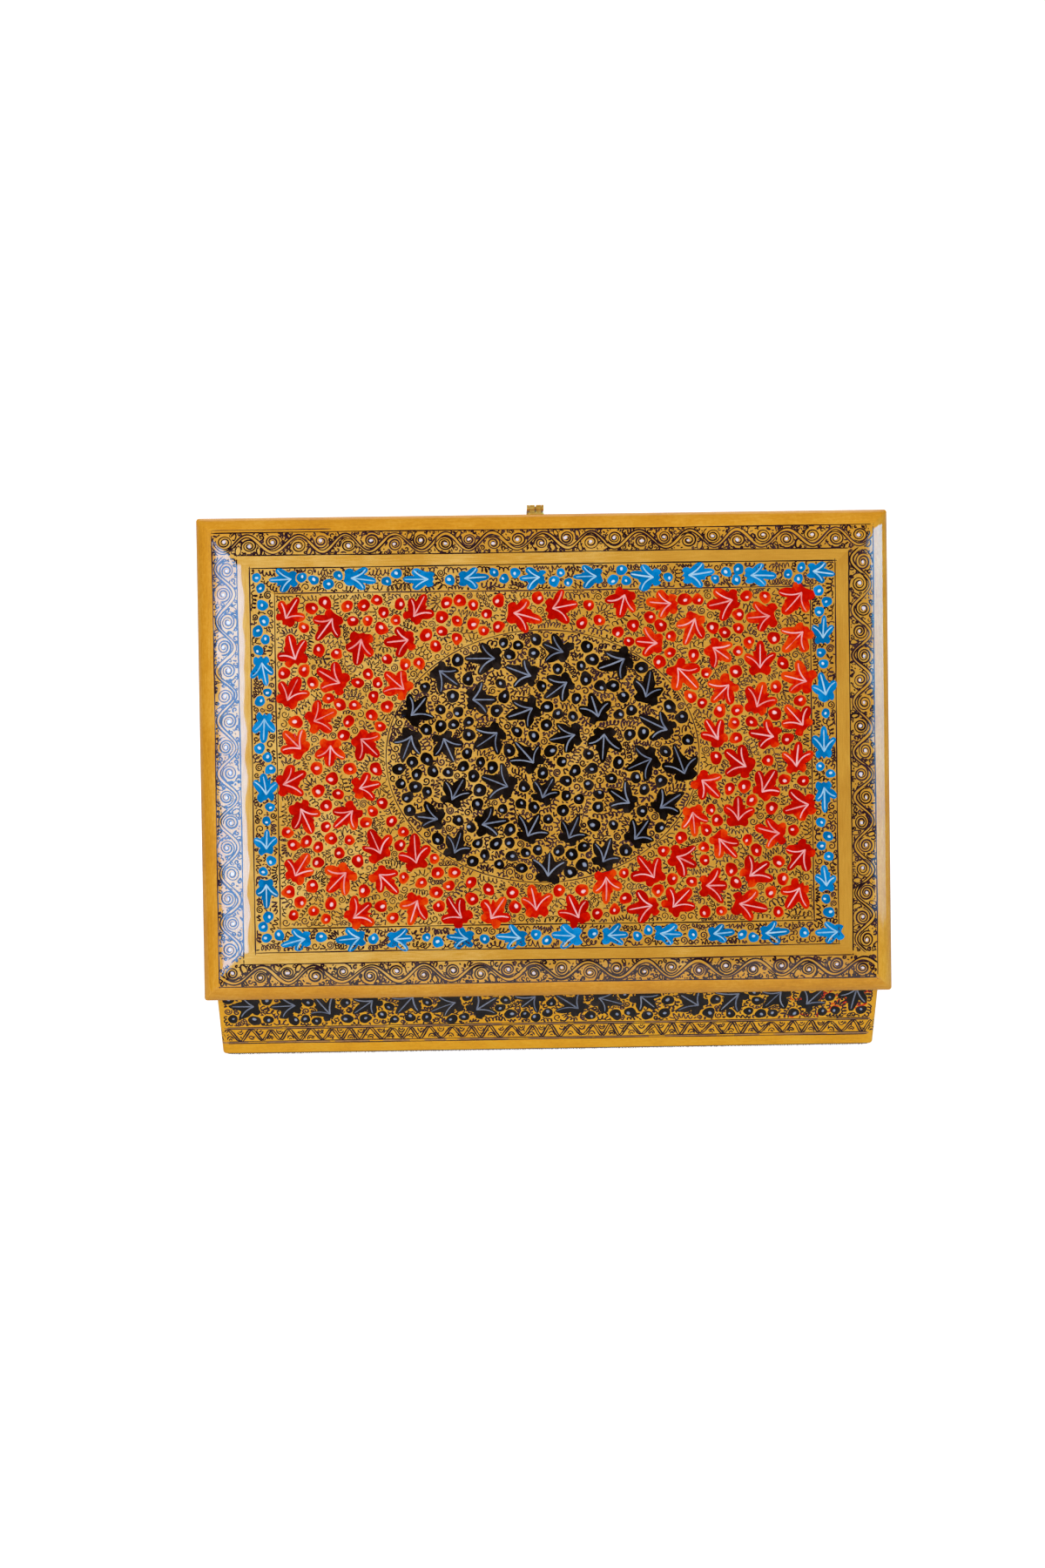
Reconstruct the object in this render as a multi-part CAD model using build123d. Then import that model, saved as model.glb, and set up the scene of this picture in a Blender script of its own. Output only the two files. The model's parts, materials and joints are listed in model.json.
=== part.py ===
from build123d import *
import os
from math import cos, radians, sin

# A flat hinged keepsake box in the Kashmiri papier mache manner: an open tray of pulp boards, a
# bevelled lid that overhangs it all round, two small brass butt hinges and a brass hasp clasp.
# Every piece is drawn with the lid shut, in millimetres. The origin is the middle of the
# underside, +Z is up, +X runs along the length and the clasp faces +Y. The lid's pieces are then
# turned about the hinge line, because the box is stored with its lid standing open.

# ---- driving dimensions ----
lid_width = 210.0  # along X
lid_depth = 146.6  # along Y
overhang = 2.7  # of the lid past the tray, on all four sides
tray_height = 25.5  # felt, base and walls together
wall = 5.0  # thickness of the tray's four walls
base = 4.0  # thickness of the base board
felt = 0.6  # thickness of the cloth under the base
seat_gap = 0.3  # between the shut lid and the walls
lid_open = 60.0  # degrees that the stored lid stands open

# ---- lid section, from its outer face inwards and from its underside upwards ----
rim_height = 4.0  # of the strips under the lid board
rim_width = 10.0
board_edge = 0.6  # upright edge of the lid board, above the rim strips
round_width = 4.15  # the rounded outer band
round_rise = 3.0
bevel_width = 10.25  # the gentle slope between the rounded band and the flat
bevel_rise = 1.4

# ---- softened edges ----
tray_corner = 1.2  # upright corners of the tray
lid_corner = 0.9  # upright corners of the lid
base_round = 0.7  # the lower edge of the base board
felt_inset = 0.9  # of the cloth from the base board's outline
felt_corner = 1.0

# ---- hinges: one pair, let into the joint between the back wall and the lid ----
hinge_spacing = 124.0
hinge_length = 22.0
hinge_out = 0.6  # of the hinge line, outside the tray's back face
barrel_radius = 1.3
barrel_room = 0.2  # between the barrel and the groove that takes it
barrel_end_room = 0.5
hinge_pin_radius = 0.5
pin_fit = 0.05  # radial running clearance
knuckles = 3
knuckle_gap = 0.15
leaf_thickness = 0.6
leaf_recess = 0.05  # of a leaf's face below the wood
leaf_depth = 5.0  # from the hinge line to the leaf's inner edge
leaf_tack_spacing = 13.0
leaf_tack_inset = 1.6  # from the leaf's inner edge

# ---- brass tacks, all of one pattern ----
tack_shank = 0.6  # square, under the head
tack_point = 0.15
tack_head_radius = 0.62
tack_head = 0.25
tack_length = 5.0

# ---- hasp clasp ----
clasp_x = -1.9  # fitted by eye, a little off the middle
clasp_width = 5.1
clasp_plate_thickness = 0.5
clasp_plate_height = 4.0
clasp_plate_corner = 0.7
clasp_line_out = 2.2  # of the hasp's hinge line, from the lid's front face
clasp_line_up = 2.3  # of that line, above the lid's underside
clasp_barrel_radius = 0.9
clasp_pin_radius = 0.4
lug_width = 1.55
lug_thickness = 0.9
lug_slit = 0.4  # between the two lugs
clasp_tack_offset = 1.12  # of its tacks, above and below the lugs
hasp_thickness = 0.6
hasp_length = 17.0  # from the hinge line to the tip
hasp_fork = 1.6  # from the hinge line down to where the strap is whole
lip_radius = 0.55  # the bead across the tongue's tip that a finger catches
lip_half = 1.2
lip_rise = 0.85  # of the bead above the tip
slot_width = 3.0
slot_length = 5.2
slot_drop = 12.4  # of the slot's middle, below the hinge line
keeper_width = 6.0
keeper_height = 9.0
keeper_corner = 1.6
keeper_tack_inset = 1.2
knob_neck_radius = 0.8
knob_head_radius = 1.2
knob_collar_radius = 1.5
knob_collar = 0.5
knob_reach = 4.1  # of the knob, from the tray's front face
knob_head = 1.2
knob_chamfer = 0.3
knob_root = 3.0  # of the knob's stem, into the wall
knob_fit = 0.02  # radial, of the stem in its hole

# ---- worked out from those ----
tray_width = lid_width - 2 * overhang
tray_depth = lid_depth - 2 * overhang
base_top = felt + base
lid_under = tray_height + seat_gap
crown = rim_height + board_edge + round_rise
lid_height = crown + bevel_rise
tray_front = tray_depth / 2
lid_front = lid_depth / 2
hinge_y = -tray_depth / 2 - hinge_out
hinge_z = tray_height + seat_gap / 2
hinge_line = Axis((0, hinge_y, hinge_z), (1, 0, 0))
hinge_places = {"left": -hinge_spacing / 2, "right": hinge_spacing / 2}
tray_leaf_top = tray_height - leaf_recess
lid_leaf_under = lid_under + leaf_recess
clasp_y = lid_front + clasp_line_out
clasp_z = lid_under + clasp_line_up
knob_z = clasp_z - slot_drop


# ---- helpers ----
def block(x, y, z):
    """A box between three (low, high) pairs."""
    size = (x[1] - x[0], y[1] - y[0], z[1] - z[0])
    middle = ((x[0] + x[1]) / 2, (y[0] + y[1]) / 2, (z[0] + z[1]) / 2)
    return Pos(*middle) * Box(*size)


def rod_x(radius, x, y, z):
    """A round bar along X between the pair x, on the line at y and z."""
    return Pos((x[0] + x[1]) / 2, y, z) * Rot(0, 90, 0) * Cylinder(radius, x[1] - x[0])


def rod_y(radius, x, y, z):
    """A round bar along Y between the pair y."""
    return Pos(x, (y[0] + y[1]) / 2, z) * Rot(90, 0, 0) * Cylinder(radius, y[1] - y[0])


def rod_z(radius, z):
    """A round bar up the Z axis between the pair z."""
    return Pos(0, 0, (z[0] + z[1]) / 2) * Cylinder(radius, z[1] - z[0])


def crossed(half_section, width, depth, corner):
    """The solid that shows one half section on all four sides, its mitres softened by corner."""
    across = extrude(Plane.XZ * half_section(width), depth / 2, both=True)
    along = extrude(Plane.YZ * half_section(depth), width / 2, both=True)
    solid = (across + mirror(across, Plane.YZ)) & (along + mirror(along, Plane.XZ))
    diagonal = (width - depth) / 2
    middles = [(edge, edge.center()) for edge in solid.edges()]
    mitres = [edge for edge, at in middles if abs(abs(at.X) - abs(at.Y) - diagonal) < 1e-6]
    return fillet(mitres, corner)


def mitre_wedge(side, width, depth, height):
    """One side of a rectangle, cut off by the 45 degree lines from its corners."""
    x, y, reach = width / 2, depth / 2, depth / 2
    corners = {
        "front": [(-x, y), (x, y), (x - reach, 0), (reach - x, 0)],
        "back": [(-x, -y), (x, -y), (x - reach, 0), (reach - x, 0)],
        "left": [(-x, -y), (-x, y), (reach - x, 0)],
        "right": [(x, -y), (x, y), (x - reach, 0)],
    }[side]
    return extrude(make_face(Polyline(*corners, close=True)), height)


def mitred_frame(width, depth, thickness, z, corner):
    """Four mitred boards round a rectangle, by side."""
    height = z[1] - z[0]
    opening = Rectangle(width - 2 * thickness, depth - 2 * thickness)
    ring = extrude(RectangleRounded(width, depth, corner) - opening, height)
    sides = ("front", "back", "left", "right")
    return {side: Pos(0, 0, z[0]) * (ring & mitre_wedge(side, width, depth, height)) for side in sides}


# ---- brass tacks ----
def tack():
    """A round-headed tack on a tapered square shank, point down, with its head's top at z = 0."""
    under_head = Pos(0, 0, -tack_head) * Rectangle(tack_shank, tack_shank)
    point = Pos(0, 0, -tack_length) * Rectangle(tack_point, tack_point)
    return loft([point, under_head]) + rod_z(tack_head_radius, (-tack_head, 0))


def leaf_tacks(on_lid):
    """Where a leaf's tacks go: down into the wall, or up into the lid."""
    y = hinge_y + leaf_depth - leaf_tack_inset
    turned = Rot(180, 0, 0) if on_lid else Rot(0, 0, 0)
    z = lid_leaf_under if on_lid else tray_leaf_top
    xs = [x + side * leaf_tack_spacing / 2 for x in hinge_places.values() for side in (-1, 1)]
    return [Pos(x, y, z) * turned for x in xs]


def clasp_tacks():
    y = lid_front + clasp_plate_thickness + tack_head
    zs = (clasp_z - clasp_tack_offset, clasp_z + clasp_tack_offset)
    return [Pos(clasp_x, y, z) * Rot(-90, 0, 0) for z in zs]


def keeper_tacks():
    y = tray_front + clasp_plate_thickness + tack_head
    reach = keeper_height / 2 - keeper_tack_inset
    return [Pos(clasp_x, y, knob_z + side * reach) * Rot(-90, 0, 0) for side in (-1, 1)]


def tack_group(places):
    return Compound([place * tack() for place in places])


def less_tacks(piece, places):
    """The piece with the room that its tacks take. The heads cut their own seats."""
    for place in places:
        piece -= place * tack()
    return piece


# ---- hinge seats ----
def less_hinges(piece, leaf_z):
    """Cuts the barrels' round grooves and the leaves' shallow seats."""
    groove_half = hinge_length / 2 + barrel_end_room
    seat_half = hinge_length / 2 + leaf_recess
    seat_y = (hinge_y, hinge_y + leaf_depth + leaf_recess)
    for x in hinge_places.values():
        span = (x - groove_half, x + groove_half)
        piece -= rod_x(barrel_radius + barrel_room, span, hinge_y, hinge_z)
        piece -= block((x - seat_half, x + seat_half), seat_y, leaf_z)
    return piece


# ---- tray ----
def base_board():
    """The base board, with its lower edge rounded over."""
    board = extrude(RectangleRounded(tray_width, tray_depth, tray_corner), base)
    underside = board.faces().sort_by(Axis.Z)[0]
    return Pos(0, 0, felt) * fillet(underside.edges(), base_round)


def base_felt():
    inset = 2 * felt_inset
    return extrude(RectangleRounded(tray_width - inset, tray_depth - inset, felt_corner), felt)


def tray_walls():
    walls = mitred_frame(tray_width, tray_depth, wall, (base_top, tray_height), tray_corner)
    back = less_hinges(walls["back"], (tray_leaf_top - leaf_thickness, lid_under))
    front = less_tacks(walls["front"], keeper_tacks())
    bore = (tray_front - knob_root - 0.1, tray_front + 1)
    front -= rod_y(knob_neck_radius + knob_fit, clasp_x, bore, knob_z)
    return {**walls, "back": less_tacks(back, leaf_tacks(False)), "front": front}


# ---- lid ----
def lid_section(width):
    """Half a section of the lid board: upright edge, rounded band, gentle bevel, flat top."""
    half, shoulder = width / 2, rim_height + board_edge
    round_start = half - round_width
    flat_end = round_start - bevel_width
    slope = (bevel_width, -bevel_rise)
    edges = [
        Polyline((round_start, crown), (flat_end, lid_height), (0, lid_height), (0, rim_height)),
        Polyline((0, rim_height), (half, rim_height), (half, shoulder)),
        TangentArc((round_start, crown), (half, shoulder), tangent=slope),
    ]
    return make_face(edges)


def lid_board():
    board = Pos(0, 0, lid_under) * crossed(lid_section, lid_width, lid_depth, lid_corner)
    return less_tacks(board, leaf_tacks(True))


def lid_rims():
    rims = mitred_frame(
        lid_width, lid_depth, rim_width, (lid_under, lid_under + rim_height), lid_corner
    )
    back = less_hinges(rims["back"], (tray_height, lid_leaf_under + leaf_thickness))
    front = less_tacks(rims["front"], clasp_tacks())
    return {**rims, "back": less_tacks(back, leaf_tacks(True)), "front": front}


# ---- hinges ----
def knuckle_spans(middle):
    """The X spans of a hinge's knuckles, in order along the barrel."""
    pitch = hinge_length / knuckles
    start = middle - hinge_length / 2
    trim = knuckle_gap / 2
    return [(start + n * pitch + trim, start + (n + 1) * pitch - trim) for n in range(knuckles)]


def hinge_leaf(middle, on_lid):
    """A rolled brass leaf. The tray's has the outer knuckles and the lid's the middle one."""
    spans = knuckle_spans(middle)[1::2] if on_lid else knuckle_spans(middle)[::2]
    low = lid_leaf_under if on_lid else tray_leaf_top - leaf_thickness
    z = (low, low + leaf_thickness)
    half = hinge_length / 2
    clear = hinge_y + barrel_radius + barrel_room
    leaf = block((middle - half, middle + half), (clear, hinge_y + leaf_depth), z)
    for span in spans:
        leaf += block(span, (hinge_y, clear), z) + rod_x(barrel_radius, span, hinge_y, hinge_z)
    bore = (middle - half - 1, middle + half + 1)
    leaf -= rod_x(hinge_pin_radius + pin_fit, bore, hinge_y, hinge_z)
    return less_tacks(leaf, leaf_tacks(on_lid))


def hinge_pin(middle):
    half = hinge_length / 2
    return rod_x(hinge_pin_radius, (middle - half, middle + half), hinge_y, hinge_z)


# ---- clasp ----
def clasp_plate():
    """The plate on the lid's front face, with the two lugs that carry the hasp's pin."""
    half, tall = clasp_width / 2, clasp_plate_height / 2
    y = (lid_front, lid_front + clasp_plate_thickness)
    plate = block((clasp_x - half, clasp_x + half), y, (clasp_z - tall, clasp_z + tall))
    plate = fillet(plate.edges().filter_by(Axis.Y), clasp_plate_corner)
    for side in (-1, 1):
        near = clasp_x + side * lug_slit / 2
        span = sorted((near, near + side * lug_width))
        z = (clasp_z - lug_thickness / 2, clasp_z + lug_thickness / 2)
        plate += block(span, (lid_front, clasp_y), z)
        plate += rod_x(clasp_barrel_radius, span, clasp_y, clasp_z)
    bore = (clasp_x - half - 1, clasp_x + half + 1)
    plate -= rod_x(clasp_pin_radius + pin_fit, bore, clasp_y, clasp_z)
    return less_tacks(plate, clasp_tacks())


def clasp_pin():
    half = clasp_width / 2
    return rod_x(clasp_pin_radius, (clasp_x - half, clasp_x + half), clasp_y, clasp_z)


def hasp_outline():
    """The tongue seen from the front, hanging from z = 0: straight sides and a round tip."""
    half, top = clasp_width / 2, -hasp_fork
    low = -hasp_length + half
    tip = ThreePointArc((half, low), (0, -hasp_length), (-half, low))
    slot = Pos(0, -slot_drop) * Rot(0, 0, 90) * SlotOverall(slot_length, slot_width)
    return make_face([Polyline((-half, low), (-half, top), (half, top), (half, low)), tip]) - slot


def hasp_tongue():
    """The hinged tongue: an end knuckle each side of the lugs, a slotted strap and a tip bead."""
    half, middle = clasp_width / 2, hasp_thickness / 2
    tongue = extrude(Plane.XZ * hasp_outline(), middle, both=True)
    tongue += rod_x(lip_radius, (-lip_half, lip_half), middle, -hasp_length + lip_rise)
    for side in (-1, 1):
        inner = side * (lug_slit / 2 + lug_width + knuckle_gap / 2)
        span = sorted((inner, side * half))
        tongue += rod_x(clasp_barrel_radius, span, 0, 0)
        tongue += block(span, (-middle, middle), (-hasp_fork, 0))
    tongue -= rod_x(clasp_pin_radius + pin_fit, (-half - 1, half + 1), 0, 0)
    return Pos(clasp_x, clasp_y, clasp_z) * tongue


def keeper_plate():
    half, tall = keeper_width / 2, keeper_height / 2
    y = (tray_front, tray_front + clasp_plate_thickness)
    plate = block((clasp_x - half, clasp_x + half), y, (knob_z - tall, knob_z + tall))
    plate = fillet(plate.edges().filter_by(Axis.Y), keeper_corner)
    plate -= rod_y(knob_neck_radius + knob_fit, clasp_x, (tray_front - 1, tray_front + 2), knob_z)
    return less_tacks(plate, keeper_tacks())


def keeper_knob():
    """A turned knob whose stem is driven into the front wall."""
    neck_end = tray_front + knob_reach - knob_head
    stem = rod_y(knob_neck_radius, clasp_x, (tray_front - knob_root, neck_end), knob_z)
    head = rod_y(knob_head_radius, clasp_x, (neck_end, tray_front + knob_reach), knob_z)
    head = chamfer(head.edges().filter_by(GeomType.CIRCLE), knob_chamfer)
    collar_back = tray_front + clasp_plate_thickness
    collar_y = (collar_back, collar_back + knob_collar)
    return stem + head + rod_y(knob_collar_radius, clasp_x, collar_y, knob_z)


# ---- the sub-parts, by node name ----
def tray_nodes():
    nodes = {"base_felt": base_felt()}
    nodes["base_board"] = base_board()
    nodes.update({f"{side}_wall": piece for side, piece in tray_walls().items()})
    for side, x in hinge_places.items():
        nodes[f"{side}_hinge_tray_leaf"] = hinge_leaf(x, False)
        nodes[f"{side}_hinge_pin"] = hinge_pin(x)
    nodes["hinge_tray_tacks"] = tack_group(leaf_tacks(False))
    nodes["keeper_plate"] = keeper_plate()
    nodes["keeper_knob"] = keeper_knob()
    nodes["keeper_tacks"] = tack_group(keeper_tacks())
    return nodes


def lid_nodes():
    nodes = {"lid_board": lid_board()}
    nodes.update({f"lid_{side}_rim": piece for side, piece in lid_rims().items()})
    for side, x in hinge_places.items():
        nodes[f"{side}_hinge_lid_leaf"] = hinge_leaf(x, True)
    nodes["hinge_lid_tacks"] = tack_group(leaf_tacks(True))
    nodes["clasp_plate"] = clasp_plate()
    nodes["clasp_pin"] = clasp_pin()
    nodes["clasp_tacks"] = tack_group(clasp_tacks())
    nodes["hasp_tongue"] = hasp_tongue()
    return {name: piece.rotate(hinge_line, lid_open) for name, piece in nodes.items()}


def main():
    os.makedirs("parts", exist_ok=True)
    for name, piece in {**tray_nodes(), **lid_nodes()}.items():
        export_step(piece, f"parts/{name}.step")
    turn = radians(lid_open)
    out, up = clasp_y - hinge_y, clasp_z - hinge_z
    y, z = out * cos(turn) - up * sin(turn), out * sin(turn) + up * cos(turn)
    print("hinge line", round(hinge_y, 4), round(hinge_z, 4))
    print("hasp line, lid open", round(hinge_y + y, 4), round(hinge_z + z, 4))


main()
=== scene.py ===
# %% [markdown]
# # A Kashmiri papier mache box
# The real box is built up from sheets of pasted paper, sanded, painted gold, drawn over with a fine
# brush and a pen, and then lacquered until it shines. Its shape is plain and its painting is rich, so
# most of this lesson is about painting: how a leaf, a berry and a scroll are drawn, how they are
# spread over a lid, and how thin paint is given a body of its own. The solid boards, hinges and clasp
# come in as a fixed frame, and everything made here is laid on them.

# %% Load the fixed frame
import json
from functools import partial
from math import asin, cos, degrees, hypot, pi, radians, sin, tau

import bpy
import numpy as np
from mathutils import Matrix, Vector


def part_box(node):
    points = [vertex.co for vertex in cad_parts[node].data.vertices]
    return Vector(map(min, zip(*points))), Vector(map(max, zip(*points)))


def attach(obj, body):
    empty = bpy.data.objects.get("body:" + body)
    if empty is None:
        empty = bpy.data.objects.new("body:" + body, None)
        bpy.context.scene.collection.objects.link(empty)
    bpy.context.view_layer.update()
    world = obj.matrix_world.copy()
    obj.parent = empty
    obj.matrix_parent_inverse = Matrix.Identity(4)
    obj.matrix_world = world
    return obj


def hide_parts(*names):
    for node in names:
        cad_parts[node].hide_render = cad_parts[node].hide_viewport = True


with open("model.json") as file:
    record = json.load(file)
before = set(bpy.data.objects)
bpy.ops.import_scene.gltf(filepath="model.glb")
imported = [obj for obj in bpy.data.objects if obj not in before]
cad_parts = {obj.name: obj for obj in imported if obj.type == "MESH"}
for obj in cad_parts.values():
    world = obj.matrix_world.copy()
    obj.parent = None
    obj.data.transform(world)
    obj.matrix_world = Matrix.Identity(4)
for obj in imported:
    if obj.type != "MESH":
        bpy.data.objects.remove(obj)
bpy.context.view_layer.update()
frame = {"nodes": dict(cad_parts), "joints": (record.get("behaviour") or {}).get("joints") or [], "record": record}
nodes = frame["nodes"]

# %% [markdown]
# ## Working in millimetres, with the lid shut
# A painter works on the lid while it lies flat. The frame holds it standing open, so a point is drawn
# where it would be with the lid shut and is then turned about the hinge line, by the angle that the
# hinge can close. Sizes are kept in millimetres, because a pen line of 0.3 is easier to think about
# than one of 0.0003, and they become metres only when a mesh is made.

# %% Measure the lid and the tray
MM = 0.001
lid_hinge = next(joint for joint in frame["joints"] if joint["name"] == "lid_hinge")
hinge_point = np.array(lid_hinge["pos_m"]) / MM
open_angle = radians(-lid_hinge["range_deg"][0])


def turned(points, angle):
    """The points turned about the lid's hinge line."""
    x, y, z = (np.asarray(points, float) - hinge_point).T
    away = np.stack([x, y * cos(angle) - z * sin(angle), y * sin(angle) + z * cos(angle)], 1)
    return away + hinge_point


def node_points(node):
    """A frame node's vertices, in millimetres."""
    return np.array([vertex.co for vertex in nodes[node].data.vertices]) / MM


board = turned(node_points("lid_board"), -open_angle)
walls = np.concatenate([node_points(side + "_wall") for side in ("front", "back", "left", "right")])
lid_width, lid_depth = np.ptp(board[:, 0]), np.ptp(board[:, 1])
board_under = board[:, 2].min()
tray_width, tray_depth = np.ptp(walls[:, 0]), np.ptp(walls[:, 1])
base_top, tray_top = walls[:, 2].min(), walls[:, 2].max()
print(f"lid {lid_width:.1f} x {lid_depth:.1f} mm, open {degrees(open_angle):.0f} degrees")
print(f"tray {tray_width:.1f} x {tray_depth:.1f} x {tray_top:.1f} mm")

# %% [markdown]
# ## The lid's face as a height
# The lid's edge is a short upright step, then a rounded band, then a long gentle bevel that dies into
# the flat. It could be a swept profile with its corners mitred by a modifier. A formula is used
# instead: how high the face stands, for how far in from the edge a point is. The paint can then ask
# for the height under it, so that every stroke lies on the lid. The real boards were sanded by hand,
# so a slow wave of a few hundredths of a millimetre is added, which is what makes a long reflection
# in the lacquer wander.

# %% The height of the lid's face
edge_step = 0.6  # the upright edge of the board
band_width = 4.15
band_rise = 3.0
bevel_width = 10.25
bevel_rise = 1.4
bevel_bow = 0.35  # how much steeper the bevel starts, as a share of its mean slope
mitre_softness = 1.6
crease_softness = 0.22  # in height, where the bevel dies into the flat
bevel_overrun = 1.3  # how far past its foot the bevel's formula is followed, in bevel widths
wave_height = 0.013
wave_start, wave_growth = 1.0, 3.0  # from the edge, and from there to the wave's full height
crease_strays = (0.3, 0.2)  # of the two waves that the crease at the bevel's foot strays by
corner_radius = 0.9

first_slope = bevel_rise * (1 + bevel_bow) / bevel_width
steepness = hypot(1, first_slope)
band_radius = (band_width**2 + band_rise**2) * steepness / (2 * (band_rise - band_width * first_slope))
arc_inset = band_width + band_radius * first_slope / steepness
arc_height = edge_step + band_rise - band_radius / steepness


def soft_min(a, b, softness):
    """The smaller of two values, with the crease between them rounded off."""
    return np.minimum(a, b) - np.maximum(softness - np.abs(a - b), 0) ** 2 / (4 * softness)


def lid_inset(x, y):
    """How far in from the lid's edge, with the mitres rounded."""
    return soft_min(lid_width / 2 - np.abs(x), lid_depth / 2 - np.abs(y), mitre_softness)


def hand_wave(x, y):
    """The slow unevenness of a board that was sanded by hand. Its wave lengths never fall in step."""
    wave = np.sin(x / 7.1 + 1.3 * np.sin(y / 11)) + np.sin(y / 6.3 + 1.7 * np.sin(x / 13))
    return wave_height * (wave + np.sin((x + y) / 3.7) * 0.35)


def crease_wander(x, y):
    """How far the crease at the bevel's foot strays in and out along each side."""
    long_wave = np.sin((x + 1.3 * y) / 3.9 + np.sin(y / 7))
    short_wave = np.sin((y - 1.2 * x) / 2.2 + 1)
    return crease_strays[0] * long_wave + crease_strays[1] * short_wave


def lid_height(x, y):
    """Height of the lid's face above the board's underside."""
    inset = np.maximum(lid_inset(x, y), 0)
    inset = inset + crease_wander(x, y) * np.clip((inset - band_width) / bevel_width, 0, 1)
    inside_arc = np.minimum(inset, band_width) - arc_inset
    band = arc_height + np.sqrt(band_radius**2 - inside_arc**2)
    share = np.clip((inset - band_width) / bevel_width, 0, bevel_overrun)
    slope = edge_step + band_rise + bevel_rise * share * (1 + bevel_bow * (1 - share))
    flat = edge_step + band_rise + bevel_rise
    face = np.where(inset < band_width, band, soft_min(slope, flat, crease_softness))
    grown = np.clip((inset - wave_start) / wave_growth, 0, 1)
    return face + (hand_wave(x, y) - 2 * wave_height) * grown


def on_lid(drawn, lift):
    """Where points drawn on the lid are, in the frame's millimetres."""
    x, y = np.asarray(drawn, float).T
    z = board_under + lid_height(x, y) + lift
    return turned(np.stack([x, y, z], 1), open_angle)


print(f"band radius {band_radius:.2f} mm, middle of the lid {lid_height(0.0, 0.0):.2f} mm high")

# %% [markdown]
# ## The tray's sides as one strip
# The four walls are painted as one long strip that runs round the rounded corners. Each wall could be
# mapped alone, but its lines would then stop short of the corners. Unrolled, the strip is a drawing
# with its length along the walls and its height up them. Seen from outside, it always runs to the
# right: along the back, the right side, the front and the left side.

# %% The strip round the tray
tray_corner = 1.2
paint_margin = 0.08  # below the wall's top edge, which no paint passes
SIDES = ("back", "right", "front", "left")
side_length = {"back": tray_width, "front": tray_width, "left": tray_depth, "right": tray_depth}
straight = {side: side_length[side] - 2 * tray_corner for side in SIDES}
corner_arc = tray_corner * pi / 2
strip_start = {}
strip_length = 0.0
for side in SIDES:
    strip_start[side] = strip_length
    strip_length += straight[side] + corner_arc


def on_tray(drawn, lift):
    """Where points of the unrolled strip are, in the frame's millimetres."""
    along, height = np.asarray(drawn, float).T
    height = np.minimum(height, tray_top - paint_margin)
    along = along % strip_length
    lift = np.broadcast_to(lift, along.shape)
    points = np.zeros((len(along), 3))
    for turn, side in enumerate(SIDES):
        reach = straight[side]
        local = along - strip_start[side]
        here = (local >= 0) & (local < reach + corner_arc)
        bend = np.clip(local - reach, 0, corner_arc) / tray_corner
        next_side = SIDES[(turn + 1) % len(SIDES)]
        out = side_length[next_side] / 2 - tray_corner + (tray_corner + lift) * np.cos(bend)
        right = np.minimum(local, reach) - reach / 2 + (tray_corner + lift) * np.sin(bend)
        x, y = [(right, -out), (out, right), (-right, out), (-out, -right)][turn]
        points[here] = np.stack([x, y, height], 1)[here]
    return points


print(f"the strip is {strip_length:.1f} mm long")

# %% [markdown]
# ## Paint with a body
# A brushed leaf or a pen line on the real box stands a hundredth of a millimetre or so proud, and its
# edge catches the light. It could be an image on the board, or a bump in the material. Here each
# stroke and blot is thin relief: a rim at the board's surface and a raised middle. All of one colour
# is gathered into one mesh, and each point carries a number, its tone, that the colour reads later.

# %% Gather strokes and blots into a mesh
rim_lift = 0.003
pen_lift = 0.007
wash_lift = 0.004
slip_lift = 0.005
blot_lift = 0.010
on_blot_lift = 0.014  # of paint that lies on a blot
vein_lift = 0.006
shine_lift = 0.010
rim_width = 0.14
swelling = 1.15  # how much higher a blot's middle stands than its shoulder


class Layer:
    """All the paint of one kind on one surface."""

    def __init__(self, surface):
        self.surface = surface
        self.points, self.tones, self.faces, self.count = [], [], [], 0

    def add(self, drawn, lift, tone, faces):
        """Takes in points of the drawing, with their lifts and tones, and the faces between them."""
        self.points.append(self.surface(drawn, lift))
        self.tones.append(np.broadcast_to(tone, len(drawn)))
        self.faces += [tuple(corner + self.count for corner in face) for face in faces]
        self.count += len(drawn)

    def finish(self, name, body, slot, material):
        """Makes the mesh, and has it ride on a body."""
        mesh = bpy.data.meshes.new(name)
        mesh.from_pydata((np.concatenate(self.points) * MM).tolist(), [], self.faces)
        tone = mesh.attributes.new("tone", "FLOAT", "POINT")
        tone.data.foreach_set("value", np.concatenate(self.tones).astype(np.float32))
        return piece(mesh, body, material)


def piece(mesh, body, material):
    """An object for a finished mesh, in its material, riding on its body."""
    mesh.shade_smooth()
    mesh.materials.append(material)
    made = bpy.data.objects.new(mesh.name, mesh)
    bpy.context.scene.collection.objects.link(made)
    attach(made, body)
    print(f"{mesh.name}: {len(mesh.polygons)} faces")
    return made


print(f"a blot's middle stands {blot_lift * swelling:.4f} mm proud")

# %% [markdown]
# ## Strokes and blots
# A brush leaves two kinds of mark: a stroke, which follows a path, and a blot, which fills an outline.
# A stroke could be a curve with a bevel, and a blot a filled curve. Both are made here straight from
# points, because tone and lift have to change across them.

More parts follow.
